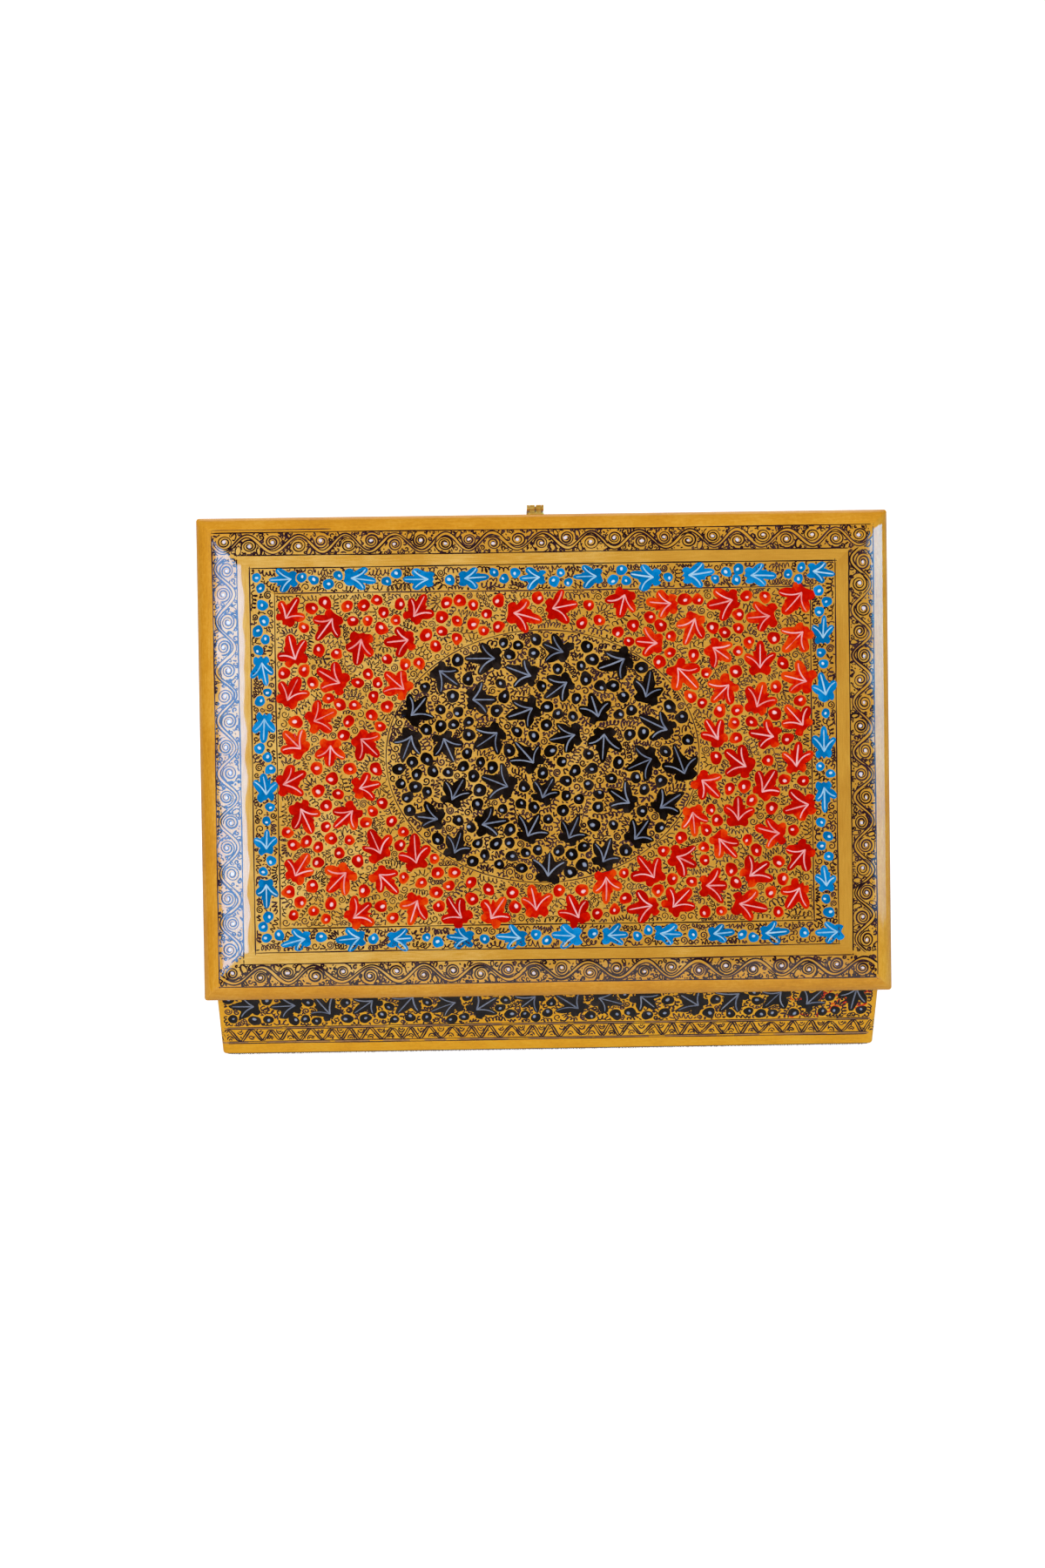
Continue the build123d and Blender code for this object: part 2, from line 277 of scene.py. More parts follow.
# %% Draw strokes and blots
def stroke(layer, path, width, lift=pen_lift, under=0.0, tone=0.5, tip=0.4):
    """A line of paint along a path, three points across. Its width fades towards its tips."""
    path = np.asarray(path, float)
    run = np.gradient(path, axis=0)
    run /= np.linalg.norm(run, axis=1)[:, None] + 1e-9
    across = np.stack([-run[:, 1], run[:, 0]], 1)
    half = np.broadcast_to(width, len(path)) / 2
    half[[0, -1]] *= tip
    sides = across * half[:, None]
    drawn = np.stack([path + sides, path, path - sides], 1).reshape(-1, 2)
    lifts = np.tile([under + rim_lift, under + lift, under + rim_lift], len(path))
    tones = np.repeat(np.broadcast_to(tone, len(path)), 3)
    faces = []
    for row in range(0, 3 * (len(path) - 1), 3):
        faces.append((row, row + 1, row + 4, row + 3))
        faces.append((row + 1, row + 2, row + 5, row + 4))
    layer.add(drawn, lifts, tones, faces)


def blot(layer, outline, middle, lift=blot_lift, under=0.0, tone=0.5, rim_tone=None, heart=None,
         rim=rim_width):
    """A closed patch of paint with a soft rim. heart is the tone of its middle."""
    outline = np.asarray(outline, float)
    count = len(outline)
    tone = np.broadcast_to(tone, count)
    x, y = (outline - outline.mean(0)).T
    if np.sum(x * np.roll(y, -1) - y * np.roll(x, -1)) < 0:
        outline, tone = outline[::-1], tone[::-1]
    run = np.roll(outline, -1, 0) - np.roll(outline, 1, 0)
    run /= np.linalg.norm(run, axis=1)[:, None] + 1e-9
    inside = outline + np.stack([-run[:, 1], run[:, 0]], 1) * rim
    drawn = np.concatenate([outline, inside, [middle]])
    lifts = np.concatenate([np.full(count, rim_lift), np.full(count, lift), [lift * swelling]]) + under
    rim_tones = tone if rim_tone is None else np.full(count, rim_tone)
    tones = np.concatenate([rim_tones, tone, [tone.mean() if heart is None else heart]])
    faces = []
    for start in range(count):
        end = (start + 1) % count
        faces.append((start, end, end + count, start + count))
        faces.append((start + count, end + count, 2 * count))
    layer.add(drawn, lifts, tones, faces)


print(f"paint stands {blot_lift} mm proud, and a pen line {pen_lift} mm")

# %% [markdown]
# ## Curves to draw along
# Every motif is drawn with four small tools: a smooth closed curve, a line that leans towards a knee,
# a point at an angle, and a turn. Blender's own curves could serve, but they would have to be turned
# back into points before paint can follow them.

# %% Make the curves
def closed_curve(points, pieces=3):
    """A smooth closed curve through the points."""
    points = np.asarray(points, float)
    before, after, beyond = (np.roll(points, shift, 0) for shift in (1, -1, -2))
    rows = []
    for t in np.arange(pieces) / pieces:
        bend = 2 * before - 5 * points + 4 * after - beyond
        rows.append(points + t * (after - before) / 2 + t * t * bend / 2
                    + t**3 * (3 * points - before - 3 * after + beyond) / 2)
    return np.stack(rows, 1).reshape(-1, 2)


def bent(start, knee, end, count=8):
    """A simple curve from start to end that leans towards the knee."""
    t = np.linspace(0, 1, count)[:, None]
    start, knee, end = (np.asarray(point, float) for point in (start, knee, end))
    return (1 - t) ** 2 * start + 2 * t * (1 - t) * knee + t * t * end


def polar(reach, angle):
    """A point that far off, at that angle to the right of straight up."""
    return np.stack([reach * np.sin(angle), reach * np.cos(angle)], -1)


def spun(points, angle, at):
    """The points turned to the right by an angle and then moved."""
    c, s = cos(angle), sin(angle)
    return np.asarray(points) @ np.array([[c, -s], [s, c]]) + at


print("a bent line has", len(bent((0, 0), (1, 1), (2, 0))), "points")

# %% [markdown]
# ## A chinar leaf
# The leaf of the plane tree, chinar in Kashmir, is the motif that these boxes are known for: five
# lobes, the middle one longest and the two at the stalk short, with three pale veins drawn last. A
# drawn outline could be copied over and over. A small rule is used instead, with each lobe given by
# its direction and reach, and each of them varied a little, as a hand does. No two leaves are alike.

# %% Shape a leaf
lobe_directions = (0.0, 49.0, 112.0)  # degrees from the tip: middle, side and stalk lobes
lobe_reaches = (0.80, 0.64, 0.36)  # from where the veins meet, as shares of the leaf's span
lobe_halves = (0.165, 0.155, 0.15)
lobe_spreads = (22.0, 22.0, 27.0)  # degrees to each side that a lobe may take up
notch_reaches = (0.53, 0.28)
stalk_reach = 0.2
vein_width = 0.42
least_turn = 0.03  # radians from one point of a leaf's outline to the next
leaf_middle = 0.33  # from where the veins meet to the leaf's middle
heart_share = 0.3  # of the way from where the veins meet to the leaf's place
lobe_outline = ((0.62, -1.0), (0.84, -0.82), (0.97, -0.36), (0.99, 0.30), (0.86, 0.80), (0.63, 1.0))
lobe_wander = 4.5  # degrees that a lobe strays from its direction
stalk_lobe_start = 0.76  # how far out the outline of a stalk lobe begins
lobe_shoulder = 0.8  # past which a point of the outline belongs to the lobe's end
thinner, deeper, pointed, wobbly = 0.12, 0.16, 0.3, 0.045  # what being ragged does to a leaf
notch_tone, stalk_tone, flank_tone = 0.35, 0.3, 0.6


def leaf_shape(span, dice, ragged=0.0):
    """A leaf's outline, the directions and reaches of its lobes, and its tone along the outline."""
    lobes = []
    for lobe in (-2, -1, 0, 1, 2):
        kind = abs(lobe)
        sign = 1 if lobe > 0 else -1
        angle = radians(sign * lobe_directions[kind] + dice.normal(0, lobe_wander))
        reach = span * lobe_reaches[kind] * dice.normal(1, 0.07)
        half = span * lobe_halves[kind] * dice.normal(1, 0.1) * (1 - thinner * ragged)
        lobes.append((angle, reach, half, kind))
    outline, tones = [], []
    for number, (angle, reach, half, kind) in enumerate(lobes):
        if number:
            before = lobes[number - 1]
            notch = span * notch_reaches[max(kind, before[3]) - 1] * dice.normal(1, 0.08)
            outline.append(polar(notch * (1 - deeper * ragged), (angle + before[0]) / 2))
            tones.append(notch_tone)
        warm = dice.uniform(0, 1)
        limit = radians(lobe_spreads[kind])
        for share, aside in lobe_outline:
            out = reach * max(share, stalk_lobe_start if kind == 2 else 0)
            wide = half * aside * (1 - pointed * ragged * (share > lobe_shoulder))
            wobble = 1 + ragged * dice.normal(0, wobbly)
            aside_angle = np.clip(wide / out, -limit, limit)
            outline.append(polar(hypot(out, wide) * wobble, angle + aside_angle))
            tones.append(warm * (flank_tone if share < lobe_shoulder else 1.0))
    for degree in (150, 180, 210):
        outline.append(polar(span * stalk_reach * dice.normal(1, 0.15), radians(degree)))
        tones.append(stalk_tone)
    smooth = closed_curve(outline)[::-1]
    return smooth, lobes, np.repeat(tones, 3)[::-1]


trial = leaf_shape(9.0, np.random.default_rng(1))[0]
print(f"a leaf is {np.ptp(trial[:, 0]):.1f} x {np.ptp(trial[:, 1]):.1f} mm, {len(trial)} points round")

# %% [markdown]
# ## Lay a leaf and its veins
# The brush fills a leaf from its heart outwards. A leaf could be cut into triangles of any kind, but
# as a fan round its heart its tone can run outwards too. For that, no part of the outline may turn
# back as seen from the heart, so points that do are left out.

# %% Lay a leaf
def unfolded(outline, tones, heart):
    """The outline without the points that turn back as seen from the heart, so that no part folds."""
    first = np.argmax(np.linalg.norm(outline - heart, axis=1))
    outline, tones = np.roll(outline, -first, axis=0), np.roll(tones, -first)
    away = outline - heart
    angles = np.unwrap(np.arctan2(away[:, 1], away[:, 0]))
    ahead = (angles - angles[0]) * np.sign(angles[-1] - angles[0])
    keep = ahead > np.concatenate([[-1], np.maximum.accumulate(ahead)[:-1] + least_turn])
    keep &= ahead < tau - least_turn
    return outline[keep], tones[keep]


def leaf(layer, vein_layer, at, turn, span, dice, ragged=0.0, slim=1.0):
    """Lays one leaf and its three veins. Returns its outline, so that others can keep clear."""
    outline, lobes, tones = leaf_shape(span, dice, ragged)
    joint = np.asarray(at, float) - spun([(0, span * leaf_middle)], turn, (0, 0))[0]
    warmth = dice.uniform(-0.35, 0.35)
    heart = joint + (at - joint) * heart_share
    placed, tones = unfolded(spun(outline * (slim, 1), turn, joint), tones, heart)
    blot(layer, placed, heart, tone=np.clip(tones + warmth, 0, 1), heart=np.clip(0.2 + warmth, 0, 1))
    for angle, reach, _, kind in lobes[1:4]:
        start = polar(-span * 0.02, 0.0)
        knee = polar(reach * 0.5, angle * dice.uniform(0.45, 0.75))
        vein = bent(start, knee, polar(reach * dice.uniform(0.84, 0.95), angle))
        width = vein_width * np.linspace(1.1, 0.85, len(vein)) * dice.uniform(0.8, 1.15)
        placed_vein = spun(vein * (slim, 1), turn, joint)
        stroke(vein_layer, placed_vein, width, lift=vein_lift, under=on_blot_lift - rim_lift,
               tone=dice.uniform(0.35, 1), tip=0.55)
    return placed


print("and without folds,", len(unfolded(trial, np.zeros(len(trial)), np.zeros(2))[0]), "points")

# %% [markdown]
# ## Berries and their shine
# A berry is one press of a loaded brush, round with a small point where the brush left. Its shine
# could be left to the lamps. A single soft touch of pale paint is the painter's way, and it reads as
# a shine wherever the lamp is.

# %% Draw a berry
berry_points, shine_points = 28, 14
berry_waves = ((2, 0.06), (3, 0.035), (5, 0.02))  # bumps round a berry, and their height in radii
berry_tip = 0.34  # how far the small point stands out, in radii
berry_rim = 0.3
shine_sizes = (0.25, 0.36)  # in radii
shine_rim = 0.3  # of the shine's size


def berry(layer, shine_layer, at, radius, dice):
    """Lays a berry and its shine. Returns its outline."""
    around = np.linspace(0, tau, berry_points, endpoint=False)
    point = dice.uniform(0, tau)
    away = np.cos(around - point)
    waves = 0.0
    for bumps, height in berry_waves:
        waves = waves + height * np.sin(bumps * around + dice.uniform(0, tau))
    reach = radius * (0.96 + berry_tip * np.maximum(away, 0) ** 7 * dice.uniform(0, 1) + waves)
    placed = polar(reach, around)[::-1] + at
    tone = np.clip(dice.uniform(0.05, 0.8) + 0.3 * away[::-1], 0, 1)
    blot(layer, placed, at, tone=tone, heart=dice.uniform(0, 0.4), lift=blot_lift, rim=berry_rim)
    drop = np.linspace(0, tau, shine_points, endpoint=False)
    size = radius * dice.uniform(*shine_sizes)
    uneven = dice.uniform(0.92, 1.08, shine_points)
    shine = polar(size * (1 + 0.35 * np.cos(drop)) * uneven, drop)[::-1] * (0.85, 1.15)
    where = at + dice.normal(0, 0.13 * radius, 2)
    placed_shine = spun(shine, point + dice.normal(0, 0.4), where)
    blot(shine_layer, placed_shine, where, lift=shine_lift, under=on_blot_lift - rim_lift, tone=0.8,
         rim_tone=0.25, heart=1.0, rim=size * shine_rim)
    return placed


print(f"a berry takes {berry_points} points, and its shine {shine_points}")

# %% [markdown]
# ## Spreading leaves over a field
# The painter sets the leaves by eye, as far apart from each other as they will go. Points could be
# put on a grid and shaken. Instead they are dropped at random and then push each other apart, which
# gives the same look as the hand: evenly full, and never in rows. A region is given by its lowest and
# highest corner and by one function, which says how far inside its edge a point is.

# %% Spread points evenly
drops_each = 60  # random drops for each point that is wanted
drop_share = 0.8  # of the wanted distance from the rim, for a first drop
push_rounds = 220
push_share, back_share = 0.22, 0.8  # of an overlap that one round undoes
feeler = 0.05  # mm to each side, to feel which way the rim lies


def inside_box(x, y, low, high):
    """How far inside a rectangle a point is."""
    across = np.minimum(x - low[0], high[0] - x)
    return np.minimum(across, np.minimum(y - low[1], high[1] - y))


def spread(count, region, edge, gap, dice):
    """That many points, pushed apart until they are a gap from each other and an edge from the rim."""
    low, high, room = region
    drops = dice.uniform(low, high, (count * drops_each, 2))
    points = drops[room(*drops.T) > edge * drop_share][:count]
    for _ in range(push_rounds):
        away = points[:, None] - points[None]
        far = np.linalg.norm(away, axis=2) + np.eye(len(points)) * 1e6
        push = np.maximum(gap - far, 0)[..., None] * away / far[..., None]
        x, y = points.T
        short = np.maximum(edge - room(x, y), 0)
        slope_x = room(x + feeler, y) - room(x - feeler, y)
        slope_y = room(x, y + feeler) - room(x, y - feeler)
        back = np.stack([slope_x, slope_y], 1) / (2 * feeler) * short[:, None]
        points = points + push.sum(1) * push_share + back * back_share
    return points


print("points are pushed apart", push_rounds, "times")

# %% [markdown]
# ## A map of the room that is left
# Berries and pen lines go where there is still room, so the room has to be known everywhere. It could
# be worked out afresh each time from all that is painted. A map with a number every quarter of a
# millimetre is quicker: each new mark lowers the numbers round it.

# %% Map the room
class Ground:
    """A region with a map of the room that is left round each of its points."""

    step = 0.25  # mm between the points of the map
    reach = 4.0  # the most room that it tells

    def __init__(self, room, low, high):
        self.low = np.asarray(low, float)
        size = np.ceil((np.asarray(high) - self.low) / self.step).astype(int)
        steps = [self.low[axis] + self.step * np.arange(size[axis]) for axis in (0, 1)]
        self.x, self.y = np.meshgrid(*steps, indexing="ij")
        self.room = np.minimum(room(self.x, self.y), self.reach)

    def take(self, points, radius=0.0):
        """Takes away the room round the points."""
        radii = np.broadcast_to(radius, len(points))
        for (px, py), radius in zip(np.asarray(points), radii, strict=True):
            reach = self.reach + radius
            i0, j0 = np.maximum(((px - reach, py - reach) - self.low) / self.step, 0).astype(int)
            i1, j1 = np.maximum(((px + reach, py + reach) - self.low) / self.step, 0).astype(int) + 1
            near = (slice(i0, i1), slice(j0, j1))
            left = np.hypot(self.x[near] - px, self.y[near] - py) - radius
            self.room[near] = np.minimum(self.room[near], left)

    def take_shape(self, outline):
        """Takes away a whole closed shape."""
        middle = outline.mean(0)
        for share in (1.0, 0.75, 0.5, 0.25):
            self.take(middle + (outline[:: 1 if share == 1 else 3] - middle) * share)

    def at(self, x, y):
        """The room at some points, and none outside the map."""
        i = ((np.asarray(x) - self.low[0]) / self.step + 0.5).astype(int)
        j = ((np.asarray(y) - self.low[1]) / self.step + 0.5).astype(int)
        rows, columns = self.room.shape
        held = (i >= 0) & (i < rows) & (j >= 0) & (j < columns)
        found = self.room[np.clip(i, 0, rows - 1), np.clip(j, 0, columns - 1)]
        return np.where(held, found, -1.0)

    def widest(self):
        """The point with the most room, and that room."""
        i, j = np.unravel_index(np.argmax(self.room), self.room.shape)
        return np.array([self.x[i, j], self.y[i, j]]), self.room[i, j]


print("rooms are mapped every", Ground.step, "mm")

# %% [markdown]
# ## The pen work between
# All the gold that the leaves and berries leave free is filled with a fine running pen: rows of small
# m shapes, looped e shapes and little curls. They could be one repeated pattern, cut off at each leaf.
# A real pen goes where there is room, so this one does too. It starts in the widest gap, walks on
# towards the most room, and makes its waves as wide as the gap allows. It stops when the gap closes.

# %% Walk a pen through the gaps
pen_width = 0.32
least_room = 0.30
least_swing, most_swing = 0.24, 1.0
stride = 0.5
pen_turns = np.array([-0.8, -0.4, 0.0, 0.4, 0.8])  # radians, the ways on from each step
pen_pitches = (0.95, 1.5)  # the length of one wave
pen_loops = [0.0, 0.15, 0.3, 0.45, 0.55]  # how round the waves are, from m shapes to e shapes
points_per_wave = 10
smoothing = 13  # points of a way that are averaged for its heading
curl_room, curl_chance, largest_curl = 0.85, 0.3, 1.25
curl_start = 0.18  # of the curl's radius


def walk(ground, start, heading, steps, dice):
    """Steps on through the widest gap ahead until it closes. Returns the way."""
    way = [start]
    for _ in range(steps):
        choices = heading + pen_turns
        on = stride * np.stack([np.cos(choices), np.sin(choices)], 1)
        near, ahead = way[-1] + on, way[-1] + 2 * on
        free = np.minimum(ground.at(*ahead.T) + 0.15, ground.at(*near.T))
        whim = dice.normal(0, 0.05, len(pen_turns)) - 0.1 * np.abs(pen_turns)
        heading = choices[np.argmax(free + whim)]
        step = way[-1] + stride * np.array([cos(heading), sin(heading)])
        if ground.at(*step) < least_room * 0.9:
            break
        way.append(step)
    return way


def wander(ground, start, dice):
    """A way through the widest gaps, to both sides of its start, with the room along it."""
    headings = np.linspace(0, tau, 16, endpoint=False)
    ahead = start + 1.6 * stride * np.stack([np.cos(headings), np.sin(headings)], 1)
    first = headings[np.argmax(ground.at(*ahead.T))]
    back = walk(ground, start, first + pi, dice.integers(3, 9), dice)
    way = np.array(back[:0:-1] + walk(ground, start, first, dice.integers(4, 12), dice))
    return way, ground.at(*way.T)


print(f"the pen takes steps of {stride} mm and needs {least_room} mm of room")

# %% [markdown]
# ## Waves and curls
# Along its way the pen swings from side to side in m shapes or rounder e shapes, and in a wide gap it
# winds a curl. A texture of squiggles would be quicker. These are drawn one by one, so that none is
# cut off and no two are alike.

# %% Draw waves and curls
def pen_waves(way, swing, dice):
    """Running m or e shapes along a way."""
    length = stride * (len(way) - 1) + 0.3
    waves = max(length / dice.uniform(*pen_pitches), 1.0)
    loop = dice.choice(pen_loops)
    samples = int(waves * points_per_wave) + 3
    along = np.linspace(0, len(way) - 1, samples)
    knots = np.arange(len(way))
    x, y = (np.interp(along, knots, way[:, axis]) for axis in (0, 1))
    beats = np.linspace(0, along[-1], int(waves * 2) + 3)
    uneven = np.interp(along, beats, dice.uniform(0.45, 1.08, len(beats)))
    hurry = np.cumsum(np.interp(along, beats, dice.uniform(0.6, 1.4, len(beats))))
    wide = np.interp(along, knots, swing) * uneven
    runs = [np.pad(np.gradient(side), smoothing // 2, "edge") for side in (x, y)]
    run = np.stack([np.convolve(side, np.ones(smoothing) / smoothing, "valid") for side in runs], 1)
    run /= np.linalg.norm(run, axis=1)[:, None] + 1e-9
    across = np.stack([-run[:, 1], run[:, 0]], 1)
    phase = hurry / hurry[-1] * waves * tau + dice.uniform(0, tau)
    lean = dice.uniform(-0.35, 0.35)
    swung = np.sin(phase)
    drawn = across * (wide * swung)[:, None] + run * (loop * np.cos(phase) + lean * wide * swung)[:, None]
    return np.stack([x, y], 1) + drawn


def curl(middle, radius, turns, dice):
    """A little spiral that runs outwards."""
    around = np.linspace(0, turns * tau, max(int(turns * 16), 8))
    reach = radius * (curl_start + (1 - curl_start) * around / around[-1])
    way = around * dice.choice([-1, 1]) + dice.uniform(0, tau)
    return middle + np.stack([reach * np.cos(way), reach * np.sin(way)], 1)


def fill_with_pen(layer, ground, dice, weight=1.0, most=4000):
    """Runs the pen through all the gaps of a region."""
    for _ in range(most):
        start, room = ground.widest()
        if room < least_room:
            break
        if room > curl_room and dice.random() < curl_chance:
            radius = min(room - 0.08, largest_curl)
            drawn = curl(start, radius, dice.uniform(1.1, 1.9), dice)
            ground.take([start], radius + 0.1)
        else:
            way, rooms = wander(ground, start, dice)
            swing = np.clip(rooms + 0.02, least_swing, most_swing)
            if len(way) > 1:
                drawn = pen_waves(way, swing, dice)
            else:
                lean = polar(min(room, 0.6), dice.uniform(0, tau))
                drawn = bent(start - lean, start + dice.normal(0, 0.35, 2), start + lean, 6)
            ground.take(way, np.minimum(swing, rooms) * 0.85)
        stroke(layer, drawn, pen_width * weight * dice.uniform(0.85, 1.15), tone=dice.uniform(0, 1))


print(f"the pen is {pen_width} mm wide and swings up to {most_swing} mm")

# %% [markdown]
# ## One way to fill every field
# The lid has three fields of leaves, red, black and blue, and each wall of the tray has another.
# They differ only in their edges, colours and numbers, so one function paints them all: leaves first,
# then berries in the widest gaps, and the pen in what is left. Each kind of paint becomes one mesh.

# %% Fill a field
field_gap = 0.25  # that the paint keeps from a field's edge
pen_gap = 0.04  # that the pen keeps from leaves and berries
berry_gap = 0.12


def berries_between(layer, shine_layer, ground, count, radius, dice):
    """Puts berries where there is the most room."""
    laid = 0
    for _ in range(count * 3):
        where, room = ground.widest()
        if laid >= count or room < radius * 0.92:
            break
        size = min(radius * dice.uniform(0.84, 1.08), room + 0.1)
        where = where + dice.uniform(-1, 1, 2) * max(room - size, 0) * 0.7
        berry(layer, shine_layer, where, size, dice)
        ground.take([where], size + berry_gap)
        laid += 1
    return laid


def paint_field(name, body, surface, paints, region, leaves, dice,
                span, berries, radius, ragged=0.0, weight=1.0, slim=1.0):
    """Paints a field: leaves at the given points and turns, berries between them, and the pen work."""
    low, high, room = region
    layers = {kind: Layer(surface) for kind in paints}
    ground = Ground(lambda x, y: room(x, y) - field_gap, low, high)
    for at, turn in zip(*leaves, strict=True):
        size = span * dice.uniform(0.93, 1.07)
        outline = leaf(layers["leaf"], layers["vein"], at, turn, size, dice, ragged, slim)
        ground.take_shape(outline)
    laid = berries_between(layers["berry"], layers["shine"], ground, berries, radius, dice)
    ground.room -= pen_gap
    fill_with_pen(layers["pen"], ground, dice, weight)
    print(f"{name}: {len(leaves[0])} leaves, {laid} berries")
    for kind, material in paints.items():
        layers[kind].finish(f"{name}_{kind}", body, "painted_pulp", material)


print("the pen keeps", pen_gap, "mm clear of the leaves")

# %% [markdown]
# ## Ruled lines
# The fields and bands are parted by lines that were ruled by eye, so no two sides of the lid agree,
# the lines are never quite straight, and they run on past the corners. They could be straight strips
# of one width. Each is a stroke of the pen instead, which drifts and swells a little. Their distances
# from the lid's edge are what the whole layout of the lid hangs on.

# %% Rule the lid
scroll_outside = {"front": 4.85, "back": 4.4, "left": 5.1, "right": 4.8}
scroll_inside = {"front": 11.85, "back": 11.3, "left": 12.7, "right": 12.4}
blue_outside = {"front": 15.6, "back": 14.8, "left": 16.4, "right": 16.7}
blue_inside = {"front": 23.4, "back": 22.1, "left": 23.9, "right": 24.2}
line_width = 0.36
overrun = (0.1, 0.7)  # how far a ruled line runs on past its ends
line_drift, line_shake = 0.09, 0.015


def corners_of(insets):
    """The lowest and highest corner of a ruled rectangle on the lid."""
    low = (insets["left"] - lid_width / 2, insets["back"] - lid_depth / 2)
    high = (lid_width / 2 - insets["right"], lid_depth / 2 - insets["front"])
    return np.array(low), np.array(high)


def ruled(layer, start, end, dice, width=line_width):
    """A line ruled by hand, which runs on a little at its ends."""
    start, end = np.asarray(start, float), np.asarray(end, float)
    length = hypot(*(end - start))
    run = (end - start) / length
    across = np.array([-run[1], run[0]])
    begin, stop = -dice.uniform(*overrun), length + dice.uniform(*overrun)
    along = np.linspace(begin, stop, int(length / 1.6))
    drift = line_drift * np.sin(along / dice.uniform(17, 30) + dice.uniform(0, tau))
    drift += dice.normal(0, line_shake, len(along))
    widths = width * (1 + 0.25 * np.sin(along / dice.uniform(4, 9) + dice.uniform(0, tau)))
    stroke(layer, start + np.outer(along, run) + np.outer(drift, across), widths, tone=dice.uniform(0, 1))


def rule_box(layer, insets, dice):
    """Four ruled lines that cross at their ends."""
    (x0, y0), (x1, y1) = corners_of(insets)
    top_left, top_right, low_left, low_right = (x0, y1), (x1, y1), (x0, y0), (x1, y0)
    for start, end in ((top_left, top_right), (low_left, low_right),
                       (top_left, low_left), (top_right, low_right)):
        ruled(layer, start, end, dice)


scroll_widths = {side: round(scroll_inside[side] - scroll_outside[side], 2) for side in SIDES}
print("the scroll band's width on each side:", scroll_widths)

# %% [markdown]
# ## The scroll band
# Round the lid runs a vine: one double pen line that swings from edge to edge, and in each swing a
# spiral that leaves the vine and winds up round a pale dot. It could be one curve object with an
# array along a path. Drawn by a formula, each swing can differ a little, and it can be fitted to the
# length of its side in whole swings.

# %% Sizes and small marks of the scroll
scroll_pen = 0.43
scroll_clearance = 0.12  # that the scroll keeps from the ruled lines
vine_half = 0.46  # half the way between the vine's two lines
vine_margin = 0.98  # from a ruled line to where the vine's middle turns back
swing_lengths = {"front": 7.3, "back": 8.3, "left": 7.5, "right": 7.4}
points_per_swing = 14
spiral_turns, spiral_sizes = (2.3, 2.8), (0.6, 0.68)  # sizes as shares of half the band
spiral_points = 52
spiral_winding = 0.86  # how far in a spiral winds, as a share of its size
dot_sizes, comma_sizes = (0.5, 0.66), (0.13, 0.25)
least_gap, loop_gap = 0.14, 0.3  # room for any mark, and for a curl or loop


def normals(path):
    """Unit steps to the left of a path, at each of its points."""
    run = np.gradient(path, axis=0)
    run /= np.linalg.norm(run, axis=1)[:, None] + 1e-9
    return np.stack([-run[:, 1], run[:, 0]], 1)


def dab(sizes, unevenness, count, dice):
    """The outline of a small uneven touch of the brush, about the origin."""
    reach = dice.uniform(*sizes) * dice.uniform(*unevenness, count)
    return polar(reach, np.linspace(0, tau, count, endpoint=False))


print("the vine swings every", swing_lengths, "mm")

# %% [markdown]
# ## One band of scroll
# A band is drawn in the order of the hand: the vine, then a spiral with its dot in each swing, and
# last small marks wherever there is room. The band could be one long function. As a class, each kind
# of mark has its own short part, and all of them know the band's edges.

